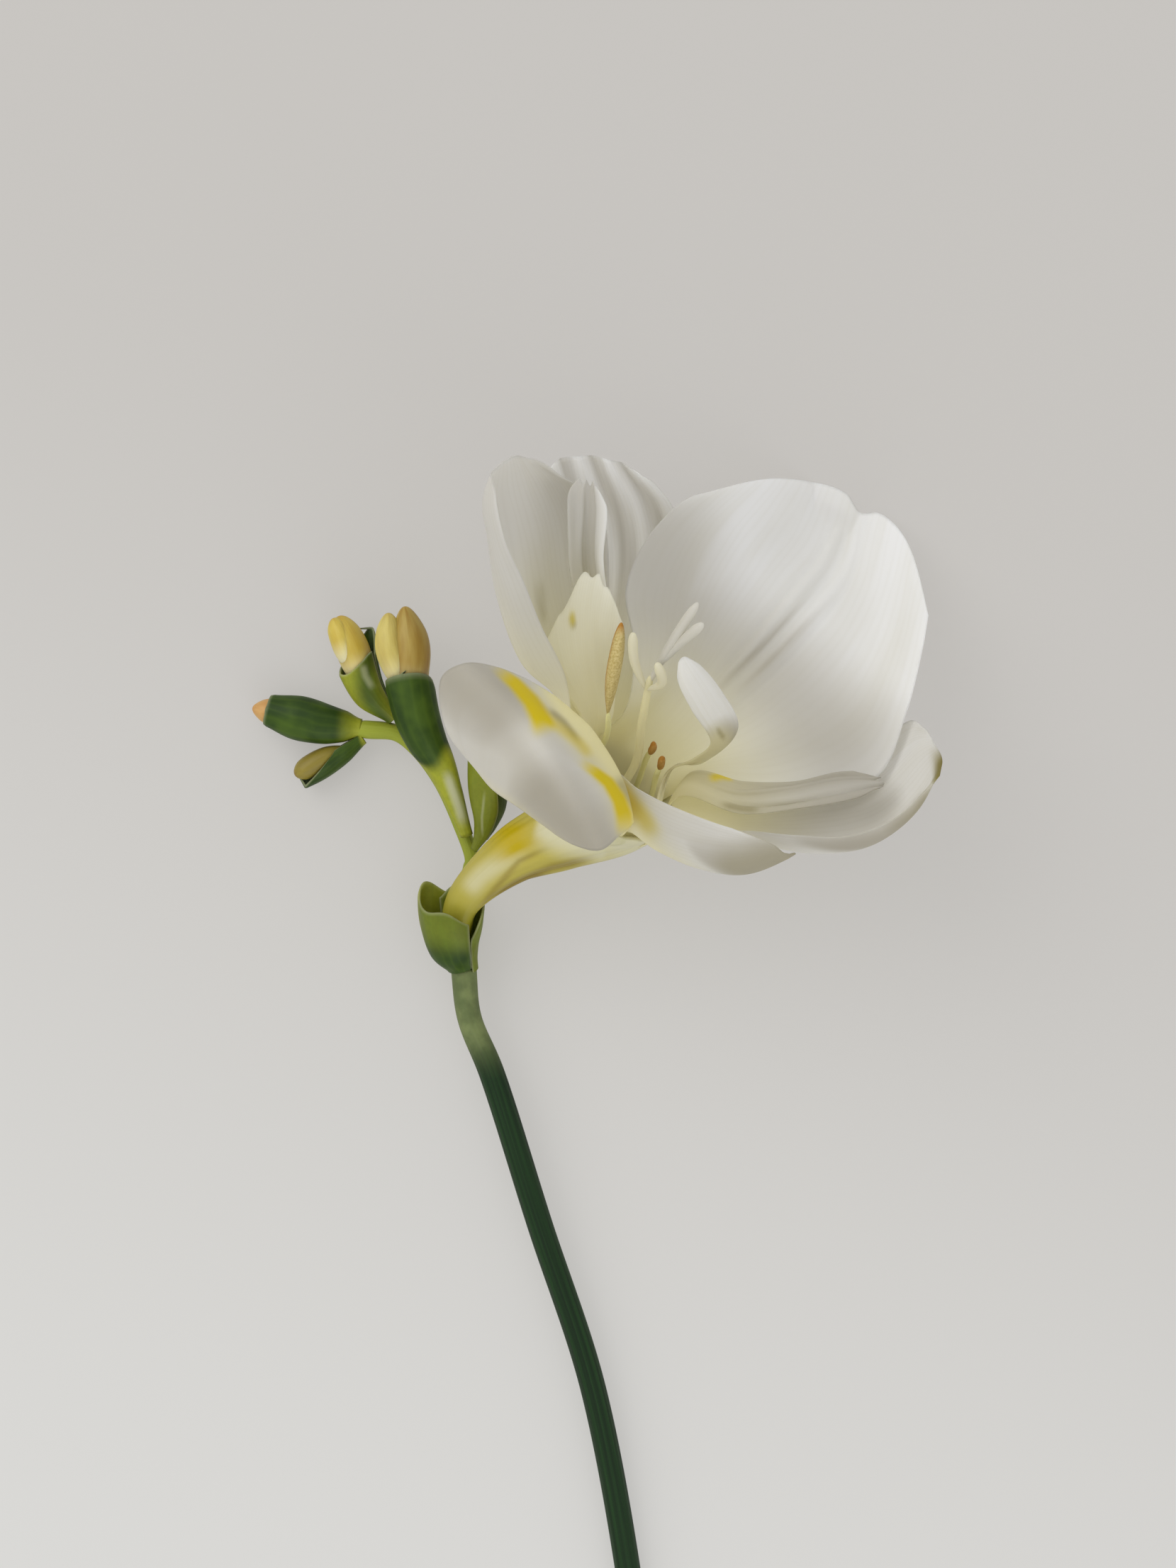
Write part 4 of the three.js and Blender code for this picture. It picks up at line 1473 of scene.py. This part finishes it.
@dataclass
class Tube:
    """The perianth tube, from the ovary to the throat, with a fold under each tepal's edge."""

    foot: Sequence[Point] = (
        (-16.5, -18.6, 6.8), (-15.4, -14.5, 8.2), (-9.3, -8.8, 11), (-3.6, -6, 12.6),
    )
    rim_depth: float = 0.3
    radii: Sequence[float] = (1.9, 2.2, 3.4, 4.6, 6.6, 8.35)
    wall: float = 0.5
    folds: int = 6
    fine_folds: int = 17
    fold_depth: float = 0.03
    crease_depth: float = 0.35
    # The first streak is a painted highlight along the middle of the tube; the second a pale streak near
    # the throat
    pale: Sequence[Streak] = (
        Streak([(-15.2, -13.6), (-13.0, -11.2), (-10.4, -9.4), (-6.6, -6.6)], 1.0, 0.6, 0.2),
        Streak([(-6.5, -5.0), (-2.5, -6.5), (3.0, -8.0)], 1.8, 0.9, 0.1),
    )
    yellow: Sequence[Streak] = (
        Streak([(-9.5, -4.4), (-9.0, -6.8), (-7.9, -9.2)], 2.3, 1.0, 0.3),
    )
    # Painted shade in the creases and along the lower side of the tube
    creases: Sequence[Streak] = (
        Streak([(-14.1, -15.9), (-11.5, -12.7), (-8.3, -9.3), (-4.3, -7.4)], 0.3, 0.6),
        Streak([(-12.3, -14.5), (-9.1, -12.1), (-4.3, -9.9), (1.0, -8.8)], 0.5, 0.8, 0.2),
        Streak([(-13.0, -16.5), (-9.8, -13.4), (-5.0, -11.0)], 0.9, 0.6, 0.2),
    )

    def build(self, material: bpy.types.Material) -> None:
        """Makes the tube and dresses it.

        Args:
            material: The tube's material.
        """
        throat = [bloom_point(0.0, 0.0, -CLAW_DEPTH), bloom_point(0.0, 0.0, -self.rim_depth)]
        path = GuideCurve([*self.foot, *throat])

        def surface(u: float, t: float) -> Vector:
            """A point of the middle of the tube's wall.

            Args:
                u: Place round the tube, from 0 to 1.
                t: Place along it, from 0 to 1.

            Returns:
                The point, in millimetres.
            """
            fine = 0.4 * math.cos(math.tau * self.fine_folds * u + 1.0)
            turn = math.cos(math.tau * self.folds * u) + fine
            folds = 1.0 - self.fold_depth * turn * smooth(0.1, 0.5, t)
            creases = self.crease_depth * (bell(u, 0.2, 0.012) + 0.7 * bell(u, 0.27, 0.01))
            radius = blend(self.radii, t) * folds - self.wall / 2.0
            return ring_point(path, t, radius - creases * smooth(0.1, 0.3, t), 360.0 * u)

        def shine(u: float, t: float, point: Vector) -> float:
            """Pale tissue towards the throat, and a painted highlight along the middle of the tube."""
            return max(0.9 * smooth(0.55, 0.85, t), streaked(self.pale, point))

        def outside(streaks: Sequence[Streak]) -> Measure:
            """Paints streaks on the side of the tube that is turned up."""
            return lambda u, t, point: streaked(streaks, point) * smooth(7.0, 10.0, point.z)

        paint = {
            "foot": lambda u, t, point: 1.0 - smooth(0.02, 0.34, t),
            "pale": shine,
            "blotch": outside(self.yellow),
            # fold: painted shade along the creases and the lower side
            "fold": outside(self.creases),
        }
        piece = make_piece("perianth_tube_wall", [Skin(surface, 72, 120, paint, closed=True)])
        solidify = piece.modifiers.new("wall", "SOLIDIFY")
        solidify.thickness = self.wall * MM
        solidify.offset = 0.0
        hand_in(piece, "perianth_tube", Slot.TUBE, material)


@dataclass
class Style:
    """The style: a thin thread up the tube that forks into fine arms."""

    trunk: Sequence[Point] = (
        (-16.4, -18, 7), (-15.4, -14.5, 8.2), (-9.3, -8.8, 11), (-3.6, -6, 12.6),
        (1.7, -2.7, 14.8), (5.5, 2, 18.7), (6.4, 7.5, 25), (7.3, 12.6, 30.5),
    )
    arms: Sequence[Sequence[Point]] = (
        ((7, 11.5, 29.5), (9.6, 16.2, 33.5), (12.6, 20.8, 37)),
        ((7.6, 13.2, 31), (10.8, 16.4, 34.2), (13.2, 18.4, 37.2)),
        ((6.8, 11, 28.8), (8.6, 11.8, 31.5), (8, 14, 33.8)),
        ((6.8, 11, 28.8), (5.4, 14.4, 30.8), (5.2, 17.6, 32.4)),
    )
    arm_tints: Sequence[float] = (0.05, 0.05, 0.4, 0.4)
    trunk_radii: Sequence[float] = (0.5,) * 7 + (0.4,)
    arm_radii: Sequence[float] = (0.3, 0.55, 0.6)
    trunk_tint: float = 0.7
    # Painted shade over the whole style, deep in the throat
    dullness: float = 0.5

    def paint(self, tint: float) -> dict[str, Measure]:
        """The style's colours: clear tissue under painted shade, with some of the throat's yellow-green.

        Args:
            tint: How much of the throat's colour it has.

        Returns:
            The measures that the petals' material reads.
        """
        clear = {name: even(0.0) for name in ("blotch", "olive", "veined")}
        return {**clear, "throat": even(tint), "shade": even(self.dullness)}

    def build(self, material: bpy.types.Material) -> None:
        """Makes the style and dresses it.

        Args:
            material: The petals' material.
        """
        trunk_paint = self.paint(self.trunk_tint)
        stalks = [Stalk(self.trunk, self.trunk_radii, columns=16, rows=96, dome=0.02, paint=trunk_paint)]
        for arm, tint in zip(self.arms, self.arm_tints):
            stalks.append(Stalk(arm, self.arm_radii, columns=16, rows=40, paint=self.paint(tint)))
        piece = make_piece("forked_style", [stalk.skin() for stalk in stalks])
        hand_in(piece, "style", Slot.PETAL, material)


@dataclass
class Stamen:
    """A stamen: a thread from the wall of the tube with a pollen sac at its end."""

    name: str
    start: float
    filament: Sequence[Point]
    anther: Sequence[Point]
    radius: float
    browning: float = 0.0
    thread_radii: Sequence[float] = (0.35,) * 4
    sac_shares: Sequence[float] = (0.3, 0.95, 1, 0.6)

    def browned(self, u: float, t: float, point: Vector) -> float:
        """Browner towards both ends of the sac and along the split between its halves.

        Args:
            u: Place round the sac, from 0 to 1.
            t: Place along it, from 0 to 1.
            point: The point there, which the browning doesn't depend on.

        Returns:
            A share from 0 to 1.
        """
        split = 0.6 * bell(u, 0.8, 0.06)
        ends = smooth(0.75, 0.95, t) + 0.7 * (1.0 - smooth(0.0, 0.15, t))
        return min(self.browning + ends + split, 1.0)

    def build(self, material: bpy.types.Material) -> None:
        """Makes the stamen and dresses it.

        Args:
            material: The pollen's material.
        """
        foot = bloom_point(PETALOID_CLAW, self.start, -CLAW_DEPTH)
        plain = {"tip": even(0.0), "thread": even(1.0)}
        thread = Stalk([foot, *self.filament], self.thread_radii, rows=32, columns=12, paint=plain)
        radii = [share * self.radius for share in self.sac_shares]
        paint = {"tip": self.browned, "thread": even(0.0)}
        sac = Stalk(self.anther, radii, rows=48, columns=32, ribs=2, rib_depth=0.12, paint=paint)
        piece = make_piece(self.name + "_anther", [thread.skin(), sac.skin()])
        hand_in(piece, self.name, Slot.POLLEN, material)


STAMENS = (
    Stamen("stamen_1", 95, [(1.1, 3.8, 18.4), (2.3, 6.1, 22.4), (2.4, 8.6, 25.6)],
           [(2.3, 8, 25), (2.8, 12, 27.6), (3.4, 15.5, 29.6), (3.9, 18.8, 31.4)], 0.95, 0.15),
    Stamen("stamen_2", -25, [(6.2, 0.5, 15), (7, 3, 18.6), (7.5, 4, 20.4)],
           [(7.4, 3.6, 19.8), (7.6, 4, 20.8), (7.8, 4.4, 21.8), (7.8, 5, 22.6)], 0.5, 0.8),
    Stamen("stamen_3", -62, [(7.6, -1.6, 15.6), (8.2, 1, 18.8), (8.6, 2, 20.2)],
           [(8.5, 1.8, 19.8), (8.7, 2.2, 20.8), (8.8, 2.8, 21.8), (8.9, 3.2, 22.4)], 0.5, 0.8),
)


# Bracts, buds and the stem


def young_foot(low: float, high: float) -> Tone:
    """The tone of tissue that is young at its foot, which ends between two shares of its length."""
    return lambda u, t: 1.0 - smooth(low, high, t)


@dataclass
class Bract:
    """A bract: a curved sheet round an axis, between two angles, whose rim height varies.

    young tells where it is yellow-green, margin how pale its thin edge is, papery lists
    streaks of thin pale tissue, neck is the share of the radius that is left at its foot, and
    swell how uneven it is.
    """

    name: str
    axis: Sequence[Point]
    radii: Sequence[float]
    start: float
    end: float
    rim: Sequence[float]
    young: Tone = young_foot(0.05, 0.3)
    margin: float = 0.35
    papery: Sequence[Streak] = ()
    neck: float = 1.0
    swell: float = 0.05
    thickness: float = 0.4
    thin_edge: float = 0.4

    def build(self, material: bpy.types.Material) -> None:
        """Makes the bract and dresses it.

        Args:
            material: The bracts' material.
        """
        curve = GuideCurve(self.axis)

        def surface(u: float, t: float) -> Vector:
            """A point of the bract's middle.

            Args:
                u: Place round the bract, from 0 to 1.
                t: Place along it, from 0 to 1.

            Returns:
                The point, in millimetres.
            """
            along = t * blend(self.rim, u)
            degrees = mix(self.start, self.end, u)
            wave = noise.noise(Vector((u * 5.0, t * 3.0, len(self.name) + self.end)))
            radius = blend(self.radii, along) * (1.0 + self.swell * wave * smooth(0.1, 0.4, t))
            radius *= mix(self.neck, 1.0, smooth(0.0, 0.16, t))
            point = ring_point(curve, along, radius, degrees)
            point.z = max(point.z, self.thickness / 2.0)
            return point

        def pale(u: float, t: float, point: Vector) -> float:
            """How thin and pale the tissue is."""
            edge = self.margin * (1.0 - inside_margin(u, t, 0.02, 0.025))
            return max(edge, streaked(self.papery, point))

        paint = {
            "margin": lambda u, t, point: inside_margin(u, t, 0.04, 0.03),
            "young": lambda u, t, point: min(max(self.young(u, t), 0.0), 1.0),
            "papery": pale,
        }
        piece = make_piece(self.name + "_leaf", [Skin(surface, 60, 72, paint)], False)
        thicken(piece, self.thickness, self.thin_edge)
        hand_in(piece, self.name, Slot.BRACT, material)


def halfway_young(u: float, t: float) -> float:
    """Yellow-green over the lower half."""
    return 1.0 - smooth(0.36, 0.52, t + 0.05 * math.sin(14.0 * u))


BRACTS = (
    Bract("flower_bract_outer",
          [(-15.5, -22.5, 5.3), (-16.2, -20.3, 6.2), (-16.6, -17, 7.3), (-16.6, -12.5, 8)],
          [1.9, 3.3, 4.1, 4.4], 28, -200, [0.7, 0.8, 0.8, 0.88, 1, 0.9, 0.8],
          young=lambda u, t: 0.3 * smooth(0.4, 0.85, t) + 0.5 * smooth(0.5, 0.7, t) * smooth(0.4, 0.55, u)),
    Bract("flower_bract_inner",
          [(-15.4, -23.2, 5.1), (-16.1, -20.3, 6.2), (-16.4, -17, 7.3), (-16.4, -12.5, 8)],
          [1.6, 2.35, 3.3, 3.8], 40, 215, [0.5, 0.72, 0.84, 0.76, 0.86, 0.95, 0.85],
          young=flat(0.35)),
    Bract("bract_1",
          [(-15.1, -6.4, 4.9), (-17.1, -0.6, 6.3), (-18.5, 2.7, 6.9), (-19.9, 5.2, 7.4),
           (-21.2, 8.7, 7.9), (-22.3, 13.9, 8.5)],
          [0.6, 1.25, 1.75, 2.3, 2.65, 2.85], 172, -172, [0.86, 0.9, 0.97, 1, 0.99, 0.95, 0.9],
          young=halfway_young,
          papery=(Streak([(-17.7, 2.0), (-16.9, -0.4), (-16.0, -2.9), (-15.3, -5.4)], 0.45, 1.0),)),
    Bract("bract_2_outer",
          [(-24.2, 8.2, 3.9), (-27.2, 11.4, 4.6), (-28.9, 15.6, 5), (-29.4, 19, 5.3)],
          [0.75, 2, 2.5, 2.5], 60, -175, [0.72, 0.62, 0.56, 0.58, 0.64, 0.7],
          young=lambda u, t: 0.45 + 0.35 * math.sin(9.0 * u + 4.0 * t),
          papery=(Streak([(-26.6, 11.6), (-27.6, 13.4), (-28.0, 15.0)], 0.35, 0.4),)),
    Bract("bract_2_inner",
          [(-24.2, 8.2, 3.9), (-27, 11.4, 4.6), (-28.5, 15.6, 5), (-28.7, 19.4, 5.3)],
          [0.75, 1.7, 2.1, 2.1], 72, 172, [0.7, 0.95, 1, 0.9], young=flat(0.0)),
    Bract("bract_3",
          [(-28.4, 7, 3.1), (-32.8, 7.5, 3), (-36, 8.2, 2.88), (-40.2, 9.3, 3)],
          [1.4, 2.3, 2.6, 1.8], 171, -171, [0.97, 0.99, 1, 1, 0.99, 0.97],
          young=young_foot(0.0, 0.25), neck=0.68),
    Bract("bract_4",
          [(-28.4, 6, 2.6), (-30.9, 4.2, 2.6), (-33.4, 2.6, 2.6), (-36.2, 1.1, 2.6)],
          [0.9, 1.5, 1.75, 1.7], 15, -205, [0.4, 0.75, 1, 1, 0.98, 0.8],
          young=young_foot(0.0, 0.12)),
    Bract("bract_5_outer",
          [(-13.9, -8.2, 4.3), (-12.6, -6, 5.2), (-11.9, -3.4, 6.2), (-12, 0, 7.4),
           (-11.8, 4, 8.6)],
          [0.6, 1.5, 2.3, 2.7, 2.8], 18, -175, [0.9, 1, 0.97, 0.9],
          young=flat(0.5),
          papery=(Streak([(-13.0, -6.6), (-13.0, -4.0), (-12.6, -0.5)], 0.12, 0.4),)),
    Bract("bract_5_inner",
          [(-12.9, -6.7, 4.9), (-12.4, -5.4, 5.4), (-11.9, -3, 6.3), (-12, 0, 7.4),
           (-11.8, 4, 8.6)],
          [0.3, 0.7, 1.45, 1.95, 2.05], -8, 176, [0.75, 0.9, 1, 0.9], young=flat(0.1)),
)


@dataclass
class Lobe:
    """One rolled petal of a bud. tone runs from 0, cream, to 1, ochre."""

    points: Sequence[Point]
    radii: Sequence[float]
    tone: float = 0.2
    ribs: int = 3

    def skin(self, foot_reach: float, tip_share: float) -> Skin:
        """The lobe's surface.

        Args:
            foot_reach: Where its pale foot starts to end, as a share of its length.
            tip_share: How much its tip is tinted.

        Returns:
            The skin.
        """
        paint = {
            "foot": lambda u, t, point: 0.8 * (1.0 - smooth(foot_reach, foot_reach + 0.25, t)),
            "tip": lambda u, t, point: tip_share * smooth(0.8, 1.0, t),
            # The ochre band down each lobe's right-hand side is painted shade, on the side away from the
            # light
            "tone": lambda u, t, point: self.tone - 0.1 + 0.25 * bell(u, 0.25, 0.12),
        }
        stalk = Stalk(self.points, self.radii, rows=60, columns=48, ribs=self.ribs,
                      rib_depth=0.035, paint=paint)
        return stalk.skin()


@dataclass
class Bud:
    """A bud: rolled petals that lie against each other with their tips apart."""

    name: str
    finish: BudFinish
    lobes: Sequence[Lobe]
    foot_reach: float = 0.35
    tip_share: float = 0.5

    def build(self) -> None:
        """Makes the bud and dresses it."""
        skins = [lobe.skin(self.foot_reach, self.tip_share) for lobe in self.lobes]
        piece = make_piece(self.name + "_petals", skins)
        hand_in(piece, self.name, Slot.BUD, self.finish.build())


CREAM_BUD = BudFinish("cream_bud_petal", "#c6b766", "#835e14", tip="#a07a28")
GOLD_BUD = BudFinish("gold_bud_petal", "#c6b352", "#a5821e", tip="#a87c2a")
ROSY_BUD = BudFinish("rosy_bud_petal", "#c5a264", "#b07a40", foot="#a5a44a", tip="#b27c46")
OLIVE_BUD = BudFinish("olive_bud_petal", "#938534", "#6f5f22", foot="#6d7a2c", tip="#7c5226")

BUDS = (
    Bud("bud_1", CREAM_BUD, [
        Lobe([(-18.9, 2.6, 7.1), (-20.9, 8, 7.9), (-21.9, 13, 8.6), (-21.9, 17, 8.9),
              (-22.6, 21.9, 9.1)], [0.5, 1.7, 2.25, 2.4, 1.6], 0.5),
        Lobe([(-21.6, 9.5, 8.1), (-22.8, 13, 8.6), (-24.3, 16.6, 9.2), (-24.6, 21.1, 9.3)],
             [0.5, 1.7, 1.9, 1.3], 0.0),
    ], tip_share=0.3),
    Bud("bud_2", GOLD_BUD, [
        Lobe([(-25.9, 10.3, 4.4), (-28.2, 13.9, 5), (-29.4, 17, 5.5), (-31, 20.9, 5.6)],
             [0.6, 1.75, 2.1, 1.5], 0.25),
        Lobe([(-27.2, 12.4, 4.7), (-29.6, 16, 5.8), (-30.6, 18.4, 6), (-31.7, 20.6, 5.9)],
             [0.4, 1.5, 1.6, 1.1], 0.1),
    ]),
    Bud("bud_3", ROSY_BUD, [
        Lobe([(-31, 7.3, 3), (-35.5, 8.1, 2.9), (-39.5, 9, 3), (-42, 9.5, 3.1)],
             [0.5, 1.9, 1.75, 0.95], 0.3),
    ], foot_reach=0.1),
    Bud("bud_4", OLIVE_BUD, [
        Lobe([(-30, 4.8, 2.7), (-32.6, 3.5, 2.9), (-34.8, 2.2, 3), (-36.7, 1.1, 3)],
             [0.3, 1.25, 1.45, 1.05], 0.3),
    ], foot_reach=0.1),
    Bud("bud_5", GOLD_BUD, [
        Lobe([(-12.6, -4.6, 5.7), (-12, -1, 7), (-11.4, 5, 9), (-10.4, 12, 11.5)],
             [0.3, 1.2, 1.5, 0.9]),
    ]),
)


@dataclass
class Stem:
    """The scape and the bent axis of the spike, and the ovary that sits on them.

    coat_start and coat_full are the places up the picture where the pale coat starts and is full.
    """

    radius: float = 1.6
    coat_start: float = -37.0
    coat_full: float = -30.0
    scape: Sequence[Point] = (
        (9, -124, 1.6), (6.5, -111.5, 1.8), (5, -98.5, 2.3), (0.5, -75, 3.2),
        (-6, -55, 4), (-12, -36, 4.6), (-14.8, -29, 4.7), (-15.5, -22.7, 5.0),
    )
    scape_shares: Sequence[float] = (1, 1, 1, 1, 1, 1, 0.95, 1)
    lower_axis: Sequence[Point] = (
        (-15.4, -25.5, 3.9), (-15.9, -21, 1.9), (-15.6, -15, 1.6), (-14.6, -9.4, 2.8),
    )
    lower_radii: Sequence[float] = (1.1, 1.1, 1, 0.85)
    upper_axis: Sequence[Point] = (
        (-14.9, -10.6, 2.5), (-14.6, -9.4, 2.8), (-16, -5, 2.6), (-18.5, 0.5, 2.6),
        (-21.5, 4.5, 2.9), (-24, 6.4, 3.2), (-27.5, 6.8, 3.2), (-29.6, 7, 3.2),
    )
    upper_radii: Sequence[float] = (0.8, 0.85, 0.95, 1, 1, 1.05, 1.15, 0.9)
    ovary: Sequence[Point] = ((-15.7, -22.2, 5.6), (-16.2, -20.6, 6.1), (-16.5, -19, 6.7))
    ovary_radii: Sequence[float] = (0.6, 1.3, 1)

    def build(self, material: bpy.types.Material) -> None:
        """Makes the stem with its axis, and the ovary.

        Args:
            material: The stem's material.
        """
        paint: dict[str, Measure] = {
            "waxy": lambda u, t, point: smooth(self.coat_start, self.coat_full, point.y),
            "young": even(0.0),
            "pith": lambda u, t, point: max(self.cut_end(point), 0.6 * smooth(0.985, 0.995, t)),
        }
        fresh = {"waxy": even(0.0), "young": even(0.75), "pith": even(0.0)}
        radii = [share * self.radius for share in self.scape_shares]
        scape = Stalk(self.scape, radii, Ends.CUT, rows=260, columns=40, ribs=9, rib_depth=0.012,
                      dome=0.016, paint=paint)
        lower = Stalk(self.lower_axis, self.lower_radii, rows=48, columns=32, dome=0.05, paint=fresh)
        upper = Stalk(self.upper_axis, self.upper_radii, rows=72, columns=32, dome=0.03, paint=fresh)
        piece = make_piece("green_stem", [scape.skin(), lower.skin(), upper.skin()])
        hand_in(piece, "scape_and_axis", Slot.STEM, material)
        ovary = Stalk(self.ovary, self.ovary_radii, rows=24, columns=24, ribs=3, rib_depth=0.05,
                      paint=fresh)
        seed_case = make_piece("seed_case", [ovary.skin()])
        hand_in(seed_case, "ovary", Slot.STEM, material)

    def cut_end(self, point: Vector) -> float:
        """Is 1 on the pale face of the cut end, inside its green rim."""
        reach = (point - Vector(self.scape[0])).length
        return 1.0 - smooth(0.75 * self.radius, 0.9 * self.radius, reach)


# The studio


@dataclass(frozen=True)
class Lamp:
    """A soft panel lamp that is turned towards aim, with its places and its size in metres."""

    name: str
    place: Point
    size: float
    power: float
    colour: str
    aim: Point = (0.0, 0.03, 0.015)

    def build(self) -> None:
        """Hangs the lamp and turns it towards the flower."""
        data = bpy.data.lights.new(self.name, "AREA")
        data.shape = "SQUARE"
        data.size = self.size
        data.energy = self.power
        data.color = linear(self.colour)[:3]
        lamp = bpy.data.objects.new(self.name, data)
        lamp.location = Vector(self.place)
        direction = (Vector(self.aim) - lamp.location).normalized()
        lamp.rotation_euler = direction.to_track_quat("-Z", "Y").to_euler()
        bpy.context.scene.collection.objects.link(lamp)


@dataclass
class Studio:
    """The pale floor, the lamps and the camera, with lengths in metres and the lens in millimetres."""

    floor_size: float = 1.5
    camera_height: float = 0.410
    focal: float = 74.67
    film: float = 36.0
    lamps: Sequence[Lamp] = (
        Lamp("window", (-0.75, 0.6, 0.85), 1.1, 7.0, "#fffefd"),
        Lamp("low_fill", (0.3, -0.95, 0.6), 1.1, 4.0, "#f8faff"),
    )
    ambient: float = 0.9
    sky: str = "#f9faff"

    def build(self) -> None:
        """Sets up everything that isn't the flower."""
        mesh = bmesh.new()
        bmesh.ops.create_grid(mesh, x_segments=8, y_segments=8, size=self.floor_size)
        data = bpy.data.meshes.new("pale_floor")
        mesh.to_mesh(data)
        mesh.free()
        floor = bpy.data.objects.new("pale_floor", data)
        floor.data.materials.append(FloorFinish().build())
        bpy.context.scene.collection.objects.link(floor)
        floor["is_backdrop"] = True
        for lamp in self.lamps:
            lamp.build()
        self.build_world()
        self.build_camera()

    def build_world(self) -> None:
        """Lights the room evenly."""
        world = bpy.data.worlds.new("room")
        bpy.context.scene.world = world
        world.use_nodes = True
        background = world.node_tree.nodes["Background"]
        background.inputs["Color"].default_value = linear(self.sky)
        background.inputs["Strength"].default_value = self.ambient

    def build_camera(self) -> None:
        """Hangs the camera over the flower, looking straight down."""
        data = bpy.data.cameras.new("camera")
        data.sensor_fit = "VERTICAL"
        data.sensor_height = self.film
        data.lens = self.focal
        camera = bpy.data.objects.new("camera", data)
        camera.location = (FLOWER_PLACE.x * MM, FLOWER_PLACE.y * MM, self.camera_height)
        bpy.context.scene.collection.objects.link(camera)
        bpy.context.scene.camera = camera


def write_sizes(before: Any, after: Any) -> None:
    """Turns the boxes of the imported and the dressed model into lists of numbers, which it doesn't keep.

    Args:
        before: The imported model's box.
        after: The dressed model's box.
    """
    boxes = [[list(map(float, corner)) for corner in box] for box in (before, after)]


def main() -> None:
    """Builds the studio and the flower."""
    logging.basicConfig(level=logging.INFO, format="%(message)s")
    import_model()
    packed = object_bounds()
    bpy.context.scene.view_settings.view_transform = "Standard"
    Studio().build()
    petal = PetalFinish().build()
    Bloom(TEPALS, PETALOIDS).build(petal)
    Style().build(petal)
    Tube().build(TubeFinish().build())
    pollen = PollenFinish().build()
    for stamen in STAMENS:
        stamen.build(pollen)
    green = BractFinish().build()
    for bract in BRACTS:
        bract.build(green)
    for bud in BUDS:
        bud.build()
    Stem().build(StemFinish().build())
    write_sizes(packed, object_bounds())


if __name__ == "__main__":
    main()
